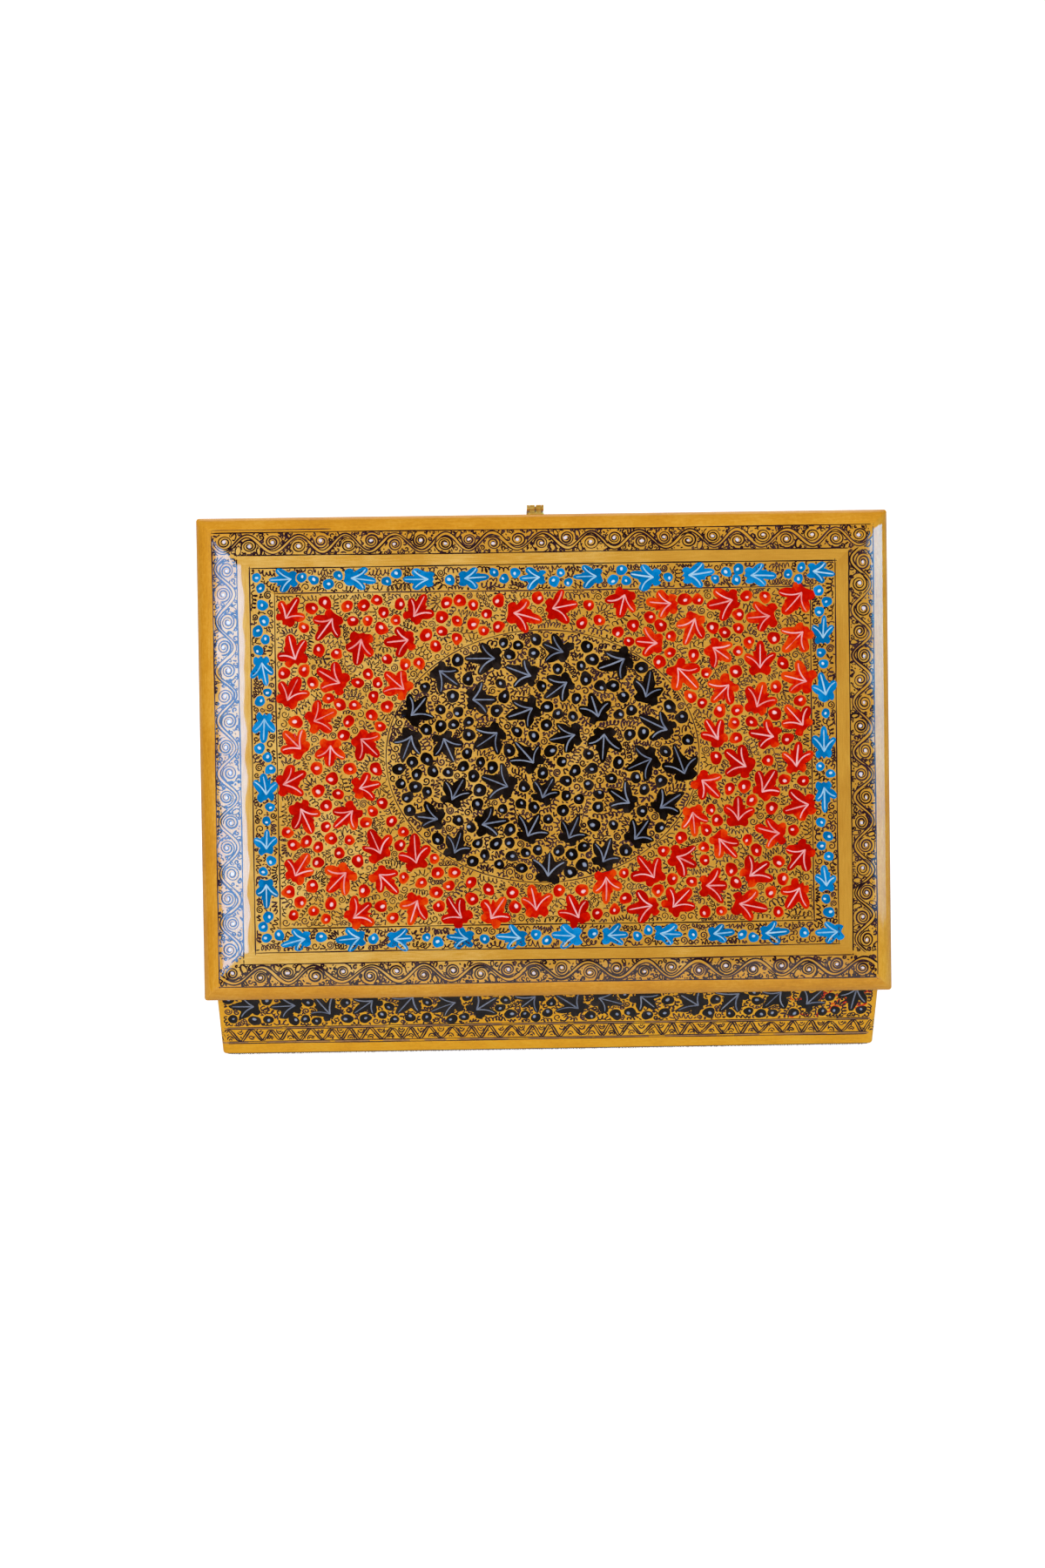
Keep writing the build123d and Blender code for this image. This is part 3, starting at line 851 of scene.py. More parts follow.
# %% Draw a band of scroll
class Scroll:
    """A band of scroll between two lines. place turns along and across into the drawing's points."""

    def __init__(self, pen, dots, place, ends, lines, dice, heavy=1.0):
        self.pen, self.dots, self.place, self.dice, self.heavy = pen, dots, place, dice, heavy
        self.start, self.end = ends
        self.low, self.high = lines
        self.middle, self.half = (self.low + self.high) / 2, (self.high - self.low) / 2

    def draw(self, path, weight=1.0):
        """One pen line, kept between the ruled lines."""
        across = np.clip(path[:, 1], self.low + scroll_clearance, self.high - scroll_clearance)
        wobble = 0.25 * np.sin(np.linspace(0, len(path) / 5, len(path)) + self.dice.uniform(0, tau))
        width = scroll_pen * self.heavy * weight * (1 + wobble)
        stroke(self.pen, self.place(path[:, 0], across), width, tone=self.dice.uniform(0, 1))

    def vine(self, swings, pitch):
        """Two lines that swing from edge to edge, in lengths of two swings. Returns their middle."""
        dice = self.dice
        along = np.linspace(self.start, self.end, swings * points_per_swing)
        swing_at = (along - self.start) / pitch
        tall = np.interp(swing_at, np.arange(swings + 1), dice.uniform(0.93, 1.05, swings + 1))
        stray = 0.18 * np.sin(along / 6.1 + dice.uniform(0, tau))
        sway = (self.half - vine_margin) * tall * np.sin(swing_at * pi + stray)
        vine = np.stack([along, self.middle + sway], 1)
        aside = normals(vine) * vine_half
        for side in (-1, 1):
            shake = 1 + 0.25 * np.sin(along / 2.9 + dice.uniform(0, tau))
            line = vine + side * aside * shake[:, None]
            for first in range(0, swings, 2):
                begin = max(first * points_per_swing - dice.integers(0, 4), 0)
                stop = (first + 2) * points_per_swing + dice.integers(0, 4)
                self.draw(line[begin:stop] + dice.normal(0, 0.06, 2), dice.uniform(0.9, 1.15))
        return vine

    def spiral(self, swing, pitch):
        """A spiral in one swing of the vine, an arc beside it and its dot. Returns its heart and size."""
        dice = self.dice
        sign = 1 if swing % 2 == 0 else -1
        heart = np.array([self.start + (swing + 0.5) * pitch, self.middle - sign * dice.uniform(0.5, 0.75)])
        heart = heart + (dice.normal(0, 0.2), 0)
        around = np.linspace(0, dice.uniform(*spiral_turns) * tau, spiral_points)
        wound = (around / around[-1]) ** 0.95
        size = self.half * dice.uniform(*spiral_sizes)
        reach = size * (1 - spiral_winding * wound) + 0.06 * np.sin(around * 1.7 + dice.uniform(0, tau))
        way = pi + dice.normal(0.4, 0.5) - sign * around
        path = np.stack([reach * np.cos(way) * dice.uniform(0.98, 1.14), reach * np.sin(way)], 1)
        self.draw(heart + path, dice.uniform(0.85, 1.15))
        arc = dice.uniform(0, tau) + np.linspace(0, dice.uniform(0.8, 2.4), 12)
        self.draw(heart + np.stack([np.cos(arc) * 1.1, np.sin(arc)], 1) * (size + 0.4), 0.8)
        dot = heart + dice.normal(0, 0.12, 2)
        shape = dab(dot_sizes, (0.75, 1.2), 12, dice)
        shape = self.place(*(shape * (1, dice.uniform(0.65, 1)) + dot).T)
        blot(self.dots, shape, self.place(*dot[:, None])[0], under=pen_lift, tone=0.8, rim_tone=0.3)
        return heart, size

    def mark(self, spot, room):
        """One mark in a gap: a curl, a loop, a comma or a tick."""
        dice = self.dice
        kind = dice.random()
        if room > loop_gap and kind < 0.4:
            winding = curl(spot, min(room * 1.1, 0.8), dice.uniform(0.7, 1.3), dice)
            self.draw(winding, dice.uniform(0.8, 1.2))
        elif room > loop_gap and kind < 0.65:
            loop = np.linspace(0, dice.uniform(5, 6.6), 11) + dice.uniform(0, tau)
            loop = np.stack([np.cos(loop) * room * 0.6, np.sin(loop) * room * 1.1], 1)
            self.draw(spun(loop, dice.uniform(-0.7, 0.7), spot), dice.uniform(0.8, 1.2))
        elif kind < 0.85:
            comma = dab(comma_sizes, (0.7, 1.3), 9, dice)
            comma = spun(comma * (1, dice.uniform(1.2, 2.2)), dice.uniform(0, tau), spot)
            blot(self.pen, self.place(*comma.T), self.place(*spot[:, None])[0], lift=pen_lift,
                 tone=dice.uniform(0, 0.6), rim=0.06)
        else:
            lean = polar(dice.uniform(0.3, 0.7), dice.uniform(0, tau))
            tick = bent(spot - lean, spot + dice.normal(0, 0.35, 2), spot + lean, 6)
            self.draw(tick, dice.uniform(0.8, 1.4))

    def run(self, pitch):
        """Draws the band in whole swings, each as near to the pitch as the band's length allows."""
        swings = max(int(round((self.end - self.start) / pitch)), 1)
        pitch = (self.end - self.start) / swings
        low, high = (self.start, self.low), (self.end, self.high)
        ground = Ground(lambda x, y: inside_box(x, y, low, high) - 0.1, low, high)
        ground.take(self.vine(swings, pitch), vine_half + 0.1)
        for swing in range(swings):
            heart, size = self.spiral(swing, pitch)
            ground.take([heart], size + 0.05)
        for _ in range(swings * 16):
            spot, room = ground.widest()
            if room < least_gap:
                break
            self.mark(spot, room)
            ground.take([spot], max(room * 0.6, 0.24))


print("a spiral winds", spiral_turns, "times round its dot")

# %% [markdown]
# ## Lay the scroll on a side
# The band is drawn along a straight line and then laid on a side of the lid. It could be drawn four
# times over. Four ways to turn along and inset into a place save that.

# %% Lay the scroll on a side
def lid_side(side):
    """Turns along and inset on one side of the lid into points of its drawing."""
    half_width, half_depth = lid_width / 2, lid_depth / 2
    return {
        "front": lambda along, inset: np.stack([along, half_depth - inset + 0 * along], 1),
        "back": lambda along, inset: np.stack([-along, inset - half_depth + 0 * along], 1),
        "left": lambda along, inset: np.stack([inset - half_width + 0 * along, along], 1),
        "right": lambda along, inset: np.stack([half_width - inset + 0 * along, -along], 1),
    }[side]


print("the middle of the front edge is at", lid_side("front")(np.zeros(1), np.zeros(1))[0])

# %% [markdown]
# ## Small helpers for materials
# A material is a web of nodes. They could be placed and linked by hand in the editor. In a script
# each node takes several lines, so those that come back get a short name here: a sum, a noise, a ramp
# of colours, a bump. A value that is the same all over is set on the shader's own socket.

# %% Name the nodes that come back
def new_material(name, **values):
    """A material and its node tree, with plain numbers set on its shader's own sockets."""
    material = bpy.data.materials.new(name)
    material.use_nodes = True
    tree = material.node_tree
    shader = tree.nodes["Principled BSDF"]
    for socket, value in values.items():
        shader.inputs[socket].default_value = value
    return material, tree, shader


def add_node(tree, kind, **values):
    """A node, with values for its sockets by name."""
    node = tree.nodes.new("ShaderNode" + kind)
    for socket, value in values.items():
        node.inputs[socket.replace("_", " ")].default_value = value
    return node


def calculate(tree, operation, first, second=None):
    """A Math node. A number stands for itself and a socket is linked."""
    node = add_node(tree, "Math")
    node.operation = operation
    for place, value in enumerate((first, second)):
        if isinstance(value, bpy.types.NodeSocket):
            tree.links.new(value, node.inputs[place])
        elif value is not None:
            node.inputs[place].default_value = value
    return node.outputs[0]


def plus(tree, first, second):
    """Adds sockets or numbers."""
    return calculate(tree, "ADD", first, second)


def minus(tree, first, second):
    """Takes the second from the first."""
    return calculate(tree, "SUBTRACT", first, second)


def times(tree, first, second):
    """Multiplies sockets or numbers."""
    return calculate(tree, "MULTIPLY", first, second)


print("node helpers for Blender", bpy.app.version_string)

# %% [markdown]
# ## Colours, noise and bumps
# A paint's shades, its grain and its ridges come from a few kinds of node. Each could be a painted
# image, but nodes need none. Places are told in the object's own metres, so a grain of half a
# millimetre is that wide on every piece.

# %% Name the nodes for colour and grain
def shades(tree, share, colours):
    """A colour ramp through evenly spaced colours."""
    ramp = add_node(tree, "ValToRGB")
    ends = ramp.color_ramp.elements
    for number, colour in enumerate(colours):
        place = number / (len(colours) - 1)
        element = ends[number] if number < 2 else ends.new(place)
        element.position = place
        element.color = (*colour, 1)
    tree.links.new(share, ramp.inputs[0])
    return ramp.outputs[0]


def noise(tree, vector, scale, detail=3.0):
    """A noise texture over some coordinates."""
    texture = add_node(tree, "TexNoise", Scale=scale, Detail=detail)
    tree.links.new(vector, texture.inputs["Vector"])
    return texture.outputs["Fac"]


def mapped(tree, vector, scale=(1, 1, 1), rotation=(0, 0, 0)):
    """Coordinates that are scaled and then turned."""
    mapping = add_node(tree, "Mapping", Scale=scale, Rotation=rotation)
    tree.links.new(vector, mapping.inputs["Vector"])
    return mapping.outputs[0]


def place_in(tree):
    """Where a point is on the object, in metres."""
    return add_node(tree, "TexCoord").outputs["Object"]


def bumped(tree, shader, height, strength, distance):
    """Lets a height move the shader's normal."""
    bump = add_node(tree, "Bump", Strength=strength, Distance=distance)
    tree.links.new(height, bump.inputs["Height"])
    tree.links.new(bump.outputs[0], shader.inputs["Normal"])


print("ready: shades, noise, mapped, place_in, bumped")

# %% [markdown]
# ## Materials for paint under lacquer
# Every colour on the box is paint under the same clear lacquer, so one function makes them all. The
# colour runs through three of its own shades, by the tone that each point of paint carries and by a
# noise that stands for the drag of the brush. The lacquer is the shader's coat. An image could hold
# the shades, but a rule has no end to its detail and needs no image.

# %% Mix the paints
lacquer = {"Specular IOR Level": 0.0, "Coat Weight": 1.0, "Coat Roughness": 0.055, "Coat IOR": 1.5}
brush_grain = 900.0  # waves of the brush's drag in a metre
brush_drag = 1.0  # how far the drag moves a colour through its shades


def paint(name, colours):
    """Brushed paint under lacquer."""
    material, tree, shader = new_material(name, Roughness=0.4, **lacquer)
    tone = add_node(tree, "Attribute")
    tone.attribute_name = "tone"
    drag = times(tree, minus(tree, noise(tree, place_in(tree), brush_grain), 0.5), brush_drag)
    share = plus(tree, tone.outputs["Fac"], drag)
    tree.links.new(shades(tree, share, colours), shader.inputs["Base Color"])
    return material


red_paint = paint("red paint", [(0.46, 0.002, 0.0), (0.68, 0.006, 0.0), (0.84, 0.065, 0.002)])
blue_paint = paint("blue paint", [(0.0, 0.15, 0.41), (0.0, 0.215, 0.58), (0.006, 0.285, 0.71)])
black_paint = paint("black paint", [(0.005, 0.003, 0.002), (0.012, 0.008, 0.007), (0.030, 0.021, 0.018)])
ink = paint("brown ink", [(0.016, 0.006, 0.009), (0.029, 0.011, 0.017), (0.058, 0.026, 0.035)])
pink_line = paint("pink line", [(0.74, 0.14, 0.12), (0.90, 0.34, 0.33), (0.98, 0.54, 0.56)])
sky_line = paint("sky blue line", [(0.12, 0.42, 0.74), (0.30, 0.60, 0.86), (0.52, 0.76, 0.94)])
grey_line = paint("blue grey line", [(0.09, 0.10, 0.15), (0.17, 0.20, 0.29), (0.28, 0.32, 0.43)])
pink_shine = paint("pink shine", [(0.76, 0.05, 0.02), (0.92, 0.36, 0.36), (0.96, 0.72, 0.76)])
sky_shine = paint("sky blue shine", [(0.02, 0.30, 0.72), (0.38, 0.66, 0.92), (0.78, 0.86, 0.96)])
grey_shine = paint("blue grey shine", [(0.03, 0.035, 0.05), (0.16, 0.19, 0.28), (0.38, 0.44, 0.58)])
brown_wash = paint("brown wash", [(0.34, 0.165, 0.07), (0.42, 0.22, 0.09), (0.52, 0.27, 0.08)])
lilac_dot = paint("lilac dot", [(0.45, 0.30, 0.22), (0.70, 0.62, 0.70), (0.86, 0.80, 0.90)])


def palette(colour, line, shine):
    """The paints of a field, by what they are for."""
    return {"leaf": colour, "vein": line, "berry": colour, "shine": shine, "pen": ink}


red_paints = palette(red_paint, pink_line, pink_shine)
blue_paints = palette(blue_paint, sky_line, sky_shine)
black_paints = palette(black_paint, grey_line, grey_shine)
print(len(bpy.data.materials), "materials so far, with the frame's own")

# %% [markdown]
# ## Gold paint and black lacquer
# The ground of the box is gold bronze paint, flooded on with a wide brush along each side, so that it
# keeps fine streaks and low ridges. It is part metal and part pigment, which is why it is set between
# the two. The streaks could be an image. Noise that is stretched along the brush has no seams, and no
# end to its detail. There are three golds: a deep one on the lid's bevel and rims, a pale one on the
# lid's flat, and a stronger one on the walls. The insides are plain black.

# %% Mix the gold
pale_gold = [(0.56, 0.235, 0.014), (0.72, 0.355, 0.038), (0.93, 0.60, 0.165)]
deep_gold = [(0.58, 0.22, 0.008), (0.77, 0.335, 0.016), (0.92, 0.49, 0.060)]
wall_gold = [(0.72, 0.30, 0.009), (0.96, 0.46, 0.015), (1.0, 0.60, 0.050)]
inside_black = (0.011, 0.009, 0.010, 1)
gold_look = {**lacquer, "Metallic": 0.1, "Roughness": 0.5, "Specular IOR Level": 0.1}
streak_stretch = 14.0  # how much longer a streak is than it is wide
streak_size = 0.35  # mm
ridge_stretch = 1.5
ridge_size = 0.8  # mm, between the ridges that a loaded brush leaves
cloud_size, speck_size = 14.0, 0.28  # mm
streak_share, cloud_share, speck_share, ridge_share = 0.65, 0.7, 0.35, 0.55  # in the colour
gold_floor = 0.35  # taken off the sum, so that the shades are used evenly
streak_height = 0.12  # beside ridges of height 1
gold_relief = (0.35, 0.00028)  # the bump's strength, and its depth in metres


def mixed(tree, share, first, second):
    """A colour between two others, the first a socket and the second a socket or a plain colour."""
    mix = add_node(tree, "Mix")
    mix.data_type = "RGBA"
    tree.links.new(share, mix.inputs["Factor"])
    tree.links.new(first, mix.inputs["A"])
    if isinstance(second, bpy.types.NodeSocket):
        tree.links.new(second, mix.inputs["B"])
    else:
        mix.inputs["B"].default_value = second
    return mix.outputs["Result"]


def gold_colour(tree, vector, shader, colours=deep_gold, painted_light_shift=None, uneven=1.0):
    """Streaked gold over coordinates in millimetres whose first axis runs with the brush."""
    streaks = mapped(tree, vector, (1 / streak_stretch, 1, 1))
    streak = noise(tree, streaks, 1 / streak_size, 4)
    cloud = noise(tree, vector, 1 / cloud_size, 2)
    speck = noise(tree, vector, 1 / speck_size, 2)
    share = plus(tree, times(tree, streak, streak_share), times(tree, cloud, cloud_share))
    share = plus(tree, share, times(tree, speck, speck_share))
    share = minus(tree, share, gold_floor)
    ridges = mapped(tree, vector, (1 / ridge_stretch, 1, 1))
    ridge = minus(tree, noise(tree, ridges, 1 / ridge_size, 3), 0.5)
    share = plus(tree, share, times(tree, ridge, ridge_share * uneven))
    relief = plus(tree, times(tree, streak, streak_height), times(tree, ridge, uneven))
    bumped(tree, shader, relief, *gold_relief)
    # painted light: a given shift lightens the gold by its place on the lid, as a painted sheen
    if painted_light_shift is not None:
        share = plus(tree, share, painted_light_shift)
    return shades(tree, share, colours)


def black_inside(tree, shader, black, gold_shades):
    """Gives a shader its gold, and plain black without metal where black is 1."""
    tree.links.new(mixed(tree, black, gold_shades, inside_black), shader.inputs["Base Color"])
    metal = times(tree, minus(tree, 1.0, black), gold_look["Metallic"])
    tree.links.new(metal, shader.inputs["Metallic"])


print(f"a streak of gold is {streak_size} mm wide and {streak_size * streak_stretch:.1f} mm long")

# %% [markdown]
# ## Gold outside, black inside
# A board that keeps its shape from the frame is gold outside and black inside. It could be cut in two
# where the colours meet. One material paints both instead: the black begins at the inner edge of the
# rim and wall, which a point's place in the frame tells.

# %% Gild the outside only
def in_millimetres(tree, vector, tilt=0.0, quarter=False):
    """Frame coordinates in millimetres, turned back by the lid's tilt, and by a quarter to run along Y."""
    upright = mapped(tree, vector, (1 / MM,) * 3, (-tilt, 0, 0))
    return mapped(tree, upright, rotation=(0, 0, pi / 2)) if quarter else upright


def hinge_line_shift(tilt):
    """How far turning back about the frame's X axis, in place of the hinge line, moves the lid."""
    y, z = hinge_point[1:]
    return y * cos(tilt) + z * sin(tilt) - y, z * cos(tilt) - y * sin(tilt) - z


def gold(name, half_width, half_depth, height, above, tilt=0.0, quarter=False, colours=deep_gold):
    """Gold outside and black inside. Inside is within the half sizes, and above or below the height."""
    material, tree, shader = new_material(name, **gold_look)
    where = place_in(tree)
    split = add_node(tree, "SeparateXYZ")
    tree.links.new(in_millimetres(tree, where, tilt), split.inputs[0])
    middle_y, middle_z = hinge_line_shift(tilt)
    from_middle = minus(tree, split.outputs[1], middle_y)
    inside_x = calculate(tree, "LESS_THAN", calculate(tree, "ABSOLUTE", split.outputs[0]), half_width)
    inside_y = calculate(tree, "LESS_THAN", calculate(tree, "ABSOLUTE", from_middle), half_depth)
    side = "GREATER_THAN" if above else "LESS_THAN"
    inside_z = calculate(tree, side, split.outputs[2], height + middle_z)
    black = times(tree, times(tree, inside_x, inside_y), inside_z)
    gold_shades = gold_colour(tree, in_millimetres(tree, where, tilt, quarter), shader, colours)
    black_inside(tree, shader, black, gold_shades)
    return material


print("inside, the boards are", inside_black[:3])

# %% [markdown]
# ## Gold the boards
# The tray's walls and base and the four strips under the lid keep their shape from the frame, with
# their hinge seats and grooves, and only get a finish. The brush ran along each side, so boards that
# run along X share one material and boards that run along Y another. The base and the two long walls
# were rubbed down after lacquering, which leaves a satin coat and keeps the inside dark. They could
# be made again, as the lid board is, but flat boards need no more than a finish.

# %% Put gold on the frame's boards
tray_wall = tray_width / 2 - np.abs(node_points("right_wall")[:, 0]).min()
lid_rim = lid_width / 2 - np.abs(turned(node_points("lid_right_rim"), -open_angle)[:, 0]).min()
skin = 0.03  # how far past an edge the black begins, so that edges stay gold
satin_coat = {"Coat Weight": 0.4, "Coat Roughness": 0.4}


def cover(node, material):
    """Gives a frame node one material."""
    slots = nodes[node].data.materials
    slots.clear()
    slots.append(material)


def tray_gold(name, quarter):
    """Gold for the tray's boards, black above the base and between the walls."""
    inside = (tray_width / 2 - tray_wall + skin, tray_depth / 2 - tray_wall + skin)
    return gold(name, *inside, base_top - skin, True, quarter=quarter, colours=wall_gold)


def lid_gold(name, quarter):
    """Gold for the lid's strips, black between them."""
    inside = (lid_width / 2 - lid_rim + skin, lid_depth / 2 - lid_rim + skin)
    return gold(name, *inside, board_under + skin, False, tilt=open_angle, quarter=quarter)


along_tray = tray_gold("gold along the tray", False)
across_tray = tray_gold("gold across the tray", True)
along_lid = lid_gold("gold along the lid rim", False)
across_lid = lid_gold("gold across the lid rim", True)
for side in SIDES:
    runs_along = side in ("front", "back")
    cover(side + "_wall", along_tray if runs_along else across_tray)
    cover(f"lid_{side}_rim", along_lid if runs_along else across_lid)
cover("base_board", along_tray)
for socket, value in satin_coat.items():
    along_tray.node_tree.nodes["Principled BSDF"].inputs[socket].default_value = value
print(f"walls {tray_wall:.1f} mm thick, lid strips {lid_rim:.1f} mm wide")

# %% [markdown]
# ## The lid board
# The frame's lid board has the right size, but its creases are as sharp as a machine leaves them, and
# its flat is dead flat. It is made again as rings of points, each a little further in from the edge
# and as high as the face's formula says. A grid would cross the mitres at a slant, and rings follow
# them. The rings lie close together on the rounded band and wider on the flat.

# %% Draw the rings
ring_spacing = 2.0  # of the rings on the flat, and of the points along them
corner_points = 5  # round each corner of a ring
band_rings = 11
bevel_insets = np.arange(5, 18, 0.75)
flat_start = 18.5
strip_half = 0.4  # half the width of the strip that the innermost ring goes round
underlap = 1.0  # how far the underside reaches over the rim strips


def ring(inset, radius, count_x, count_y):
    """Points round a rectangle with rounded corners, that far in from the lid's edge."""
    half_x, half_y = lid_width / 2 - inset, lid_depth / 2 - inset
    radius = min(radius, half_x, half_y)
    corners = [(1, -1, -90, count_y), (1, 1, 0, count_x), (-1, 1, 90, count_y), (-1, -1, 180, count_x)]

    def at_corner(sx, sy, degree):
        """A point of a corner's arc, at that angle."""
        away = radius * np.array([cos(radians(degree)), sin(radians(degree))])
        return np.array([sx * (half_x - radius), sy * (half_y - radius)]) + away

    points = []
    for number, (sx, sy, first, count) in enumerate(corners):
        points += [at_corner(sx, sy, degree) for degree in np.linspace(first, first + 90, corner_points)]
        start, end = points[-1], at_corner(*corners[(number + 1) % 4][:3])
        points += [start + (end - start) * share for share in np.linspace(0, 1, count + 2)[1:-1]]
    return np.array(points)


def last_strip(first, count, count_x, count_y):
    """Faces that close the innermost ring, which goes round a long narrow strip, bay by bay."""
    top_right = 2 * corner_points + count_y - 1
    top_left = top_right + count_x + 1
    bottom_left = top_left + 2 * corner_points + count_y - 1
    top = np.arange(top_right, top_left + 1)
    bottom = np.arange(count, bottom_left - 1, -1) % count
    faces = [np.arange(0, top_right + 1), np.arange(top_left, bottom_left + 1)]
    for bay in range(count_x + 1):
        faces.append(np.array([top[bay], top[bay + 1], bottom[bay + 1], bottom[bay]]))
    return [tuple((first + face).tolist()) for face in faces]


print(band_rings, "rings on the band and", len(bevel_insets), "on the bevel")

# %% [markdown]
# ## Join the rings
# The rings are joined by faces of four corners into one closed skin. Every corner carries where it is
# along the brush and across it, so the streaks turn at the mitres. A UV map could carry that too, but
# it holds two numbers, and the height is the third.

# %% Join the rings
def lid_board_mesh(name):
    """The board's face, edge and underside as one closed skin, with the brush's way on its corners."""
    counts = (int(lid_width / ring_spacing), int(lid_depth / ring_spacing))
    band_insets = np.linspace(0, band_width, band_rings + 1)[1:]
    flat_insets = np.arange(flat_start, lid_depth / 2 - 0.5, ring_spacing)
    insets = np.concatenate([band_insets, bevel_insets, flat_insets, [lid_depth / 2 - strip_half]])
    underside = [ring(lid_rim - underlap, 0.5, *counts), ring(0, corner_radius, *counts)]
    face_rings = [ring(0, corner_radius, *counts)]
    face_rings += [ring(inset, max(corner_radius - inset, 0.3), *counts) for inset in insets]
    rings = underside + face_rings
    points = []
    for number, drawn in enumerate(rings):
        x, y = drawn.T
        height = lid_height(x, y) if number >= len(underside) else np.zeros(len(x))
        points.append(np.stack([x, y, board_under + height], 1))
    count = len(points[0])
    faces = [tuple(range(count))[::-1]]
    for number in range(len(rings) - 1):
        first = number * count
        for start in range(count):
            end = (start + 1) % count
            faces.append((first + start, first + end, first + count + end, first + count + start))
    faces += last_strip((len(rings) - 1) * count, count, *counts)
    shut = np.concatenate(points)
    mesh = bpy.data.meshes.new(name)
    mesh.from_pydata((turned(shut, open_angle) * MM).tolist(), [], faces)
    way = mesh.attributes.new("brush", "FLOAT_VECTOR", "CORNER")
    values = np.zeros((len(mesh.loops), 3), np.float32)
    for face in mesh.polygons:
        held = shut[list(face.vertices)]
        x, y, _ = np.abs(held).mean(0)
        along_x = lid_depth / 2 - y < lid_width / 2 - x
        order = (0, 1, 2) if along_x else (1, 0, 2)
        values[face.loop_start : face.loop_start + face.loop_total] = held[:, order]
    way.data.foreach_set("vector", values.ravel())
    return mesh


lid_mesh = lid_board_mesh("lid_board_gold")
print("the lid board has", len(lid_mesh.polygons), "faces")

# %% [markdown]
# ## Gold on the lid board
# The flat of the lid was gilded apart from the bevel, with a lighter and smoother gold. Its gold is
# also painted lighter towards the left, a painted sheen of the light from that side. The flat could be
# a second mesh. A point's height tells where the bevel ends, so one material can blend the two golds,
# and turn black on the underside.

# %% Gild the lid board
# painted light: the flat's gold is painted lighter at the lid's left than at its right, a painted sheen of the
# light from the left
painted_left_light = 0.45  # how much paler the flat's gold is at the lid's left than at its right
flat_evenness = 0.15  # the share of the ridges that show in the flat's gold
pale_from, pale_full = 0.0, 0.6  # of the bevel's rise, where the pale gold begins and is full


def board_gold():
    """Gold for the lid board, whose streaks follow the brush's way, and black for its underside."""
    material, tree, shader = new_material("gold of the lid board", **gold_look)
    way = add_node(tree, "Attribute")
    way.attribute_name = "brush"
    brush = way.outputs["Vector"]
    split, place = add_node(tree, "SeparateXYZ"), add_node(tree, "SeparateXYZ")
    tree.links.new(brush, split.inputs[0])
    tree.links.new(place_in(tree), place.inputs[0])
    climb = add_node(tree, "MapRange")
    bevel_foot = board_under + edge_step + band_rise
    climb.inputs["From Min"].default_value = bevel_foot + bevel_rise * pale_from
    climb.inputs["From Max"].default_value = bevel_foot + bevel_rise * pale_full
    tree.links.new(split.outputs[2], climb.inputs["Value"])
    # painted light: the gold is painted lighter towards the lid's left, a painted sheen of the light from that
    # side
    painted_light_shift = times(tree, place.outputs[0], -painted_left_light / (lid_width * MM))
    deep = gold_colour(tree, brush, shader)
    pale = gold_colour(tree, brush, shader, pale_gold, painted_light_shift, flat_evenness)
    black = calculate(tree, "LESS_THAN", split.outputs[2], board_under + skin)
    black_inside(tree, shader, black, mixed(tree, climb.outputs[0], deep, pale))
    return material


lid_face = piece(lid_mesh, "lid", board_gold())
lid_face.data.set_sharp_from_angle(angle=radians(35))
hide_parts("lid_board")

# %% [markdown]
# ## Brass and cloth
# The hinges, the clasp and the keeper are thin stamped brass, bright but no longer new. They keep
# their shape from the frame. Fine scratches could be modelled. They are put in the finish, as a
# stretched noise that moves the roughness and the normal a little. The cloth under the base is a thin
# dark weave.

# %% Finish the brass and the cloth
brass_shades = [(0.50, 0.21, 0.02), (0.84, 0.43, 0.05), (0.98, 0.63, 0.16)]
cloth_shades = [(0.010, 0.008, 0.009), (0.06, 0.045, 0.045)]
stain_grain, scratch_grain = 0.45, 1.6  # waves in a millimetre
scratch_scale = (0.35, 6, 6)  # long along X, fine across it
smoothest, scratch_roughness = 0.26, 0.22
scratch_relief = (0.25, 0.00003)  # each bump's strength, and its depth in metres
weave_relief = (0.8, 0.0002)


def brass_finish():
    """Stained and finely scratched brass."""
    material, tree, shader = new_material("brass", Metallic=0.5, Roughness=0.3)
    where = in_millimetres(tree, place_in(tree))
    stain = noise(tree, where, stain_grain, 4)
    scratch = noise(tree, mapped(tree, where, scratch_scale), scratch_grain, 4)
    tree.links.new(shades(tree, stain, brass_shades), shader.inputs["Base Color"])
    rough = plus(tree, times(tree, scratch, scratch_roughness), smoothest)
    tree.links.new(rough, shader.inputs["Roughness"])
    bumped(tree, shader, scratch, *scratch_relief)
    return material


def cloth_finish():
    """A dark weave: two sets of waves, one across the other."""
    material, tree, shader = new_material("dark cloth", Roughness=0.92)
    where = in_millimetres(tree, place_in(tree))
    waves = []
    for quarter in (0, pi / 2):
        wave = add_node(tree, "TexWave", Scale=0.9, Distortion=0.6)
        tree.links.new(mapped(tree, where, rotation=(0, 0, quarter)), wave.inputs["Vector"])
        waves.append(wave.outputs["Fac"])
    weave = times(tree, *waves)
    tree.links.new(shades(tree, weave, cloth_shades), shader.inputs["Base Color"])
    bumped(tree, shader, weave, *weave_relief)
    return material


brass, cloth = brass_finish(), cloth_finish()
slots = {part["node"]: part["material_slot"] for part in frame["record"]["subparts"]}
for node, slot in slots.items():
    if slot == "brass":
        cover(node, brass)
cover("base_felt", cloth)
print(sum(slot == "brass" for slot in slots.values()), "brass nodes")

# %% [markdown]
# ## Lines and scroll on the lid
# With every motif ready, the lid is painted in the order that the painter works: lines, scroll, blue
# border, red field, and the black oval in its middle. The oval's outline could be one of Blender's
# circles, stretched. Here it is a stroke of the same pen as the rest, so that it has the same body.
# Each field has its own seed, so that changing one leaves the others as they are.

# %% Rule the lid and draw its scroll
oval_middle = (-0.85, -0.3)
oval_halves = (47.4, 38.2)
oval_pen = 0.3
top_line_start, top_line_end, top_line_inset = -99.5, -64.0, 4.0  # a slip of the pen at the front
heavy_pen = 1.15  # on the back, where the brush was full


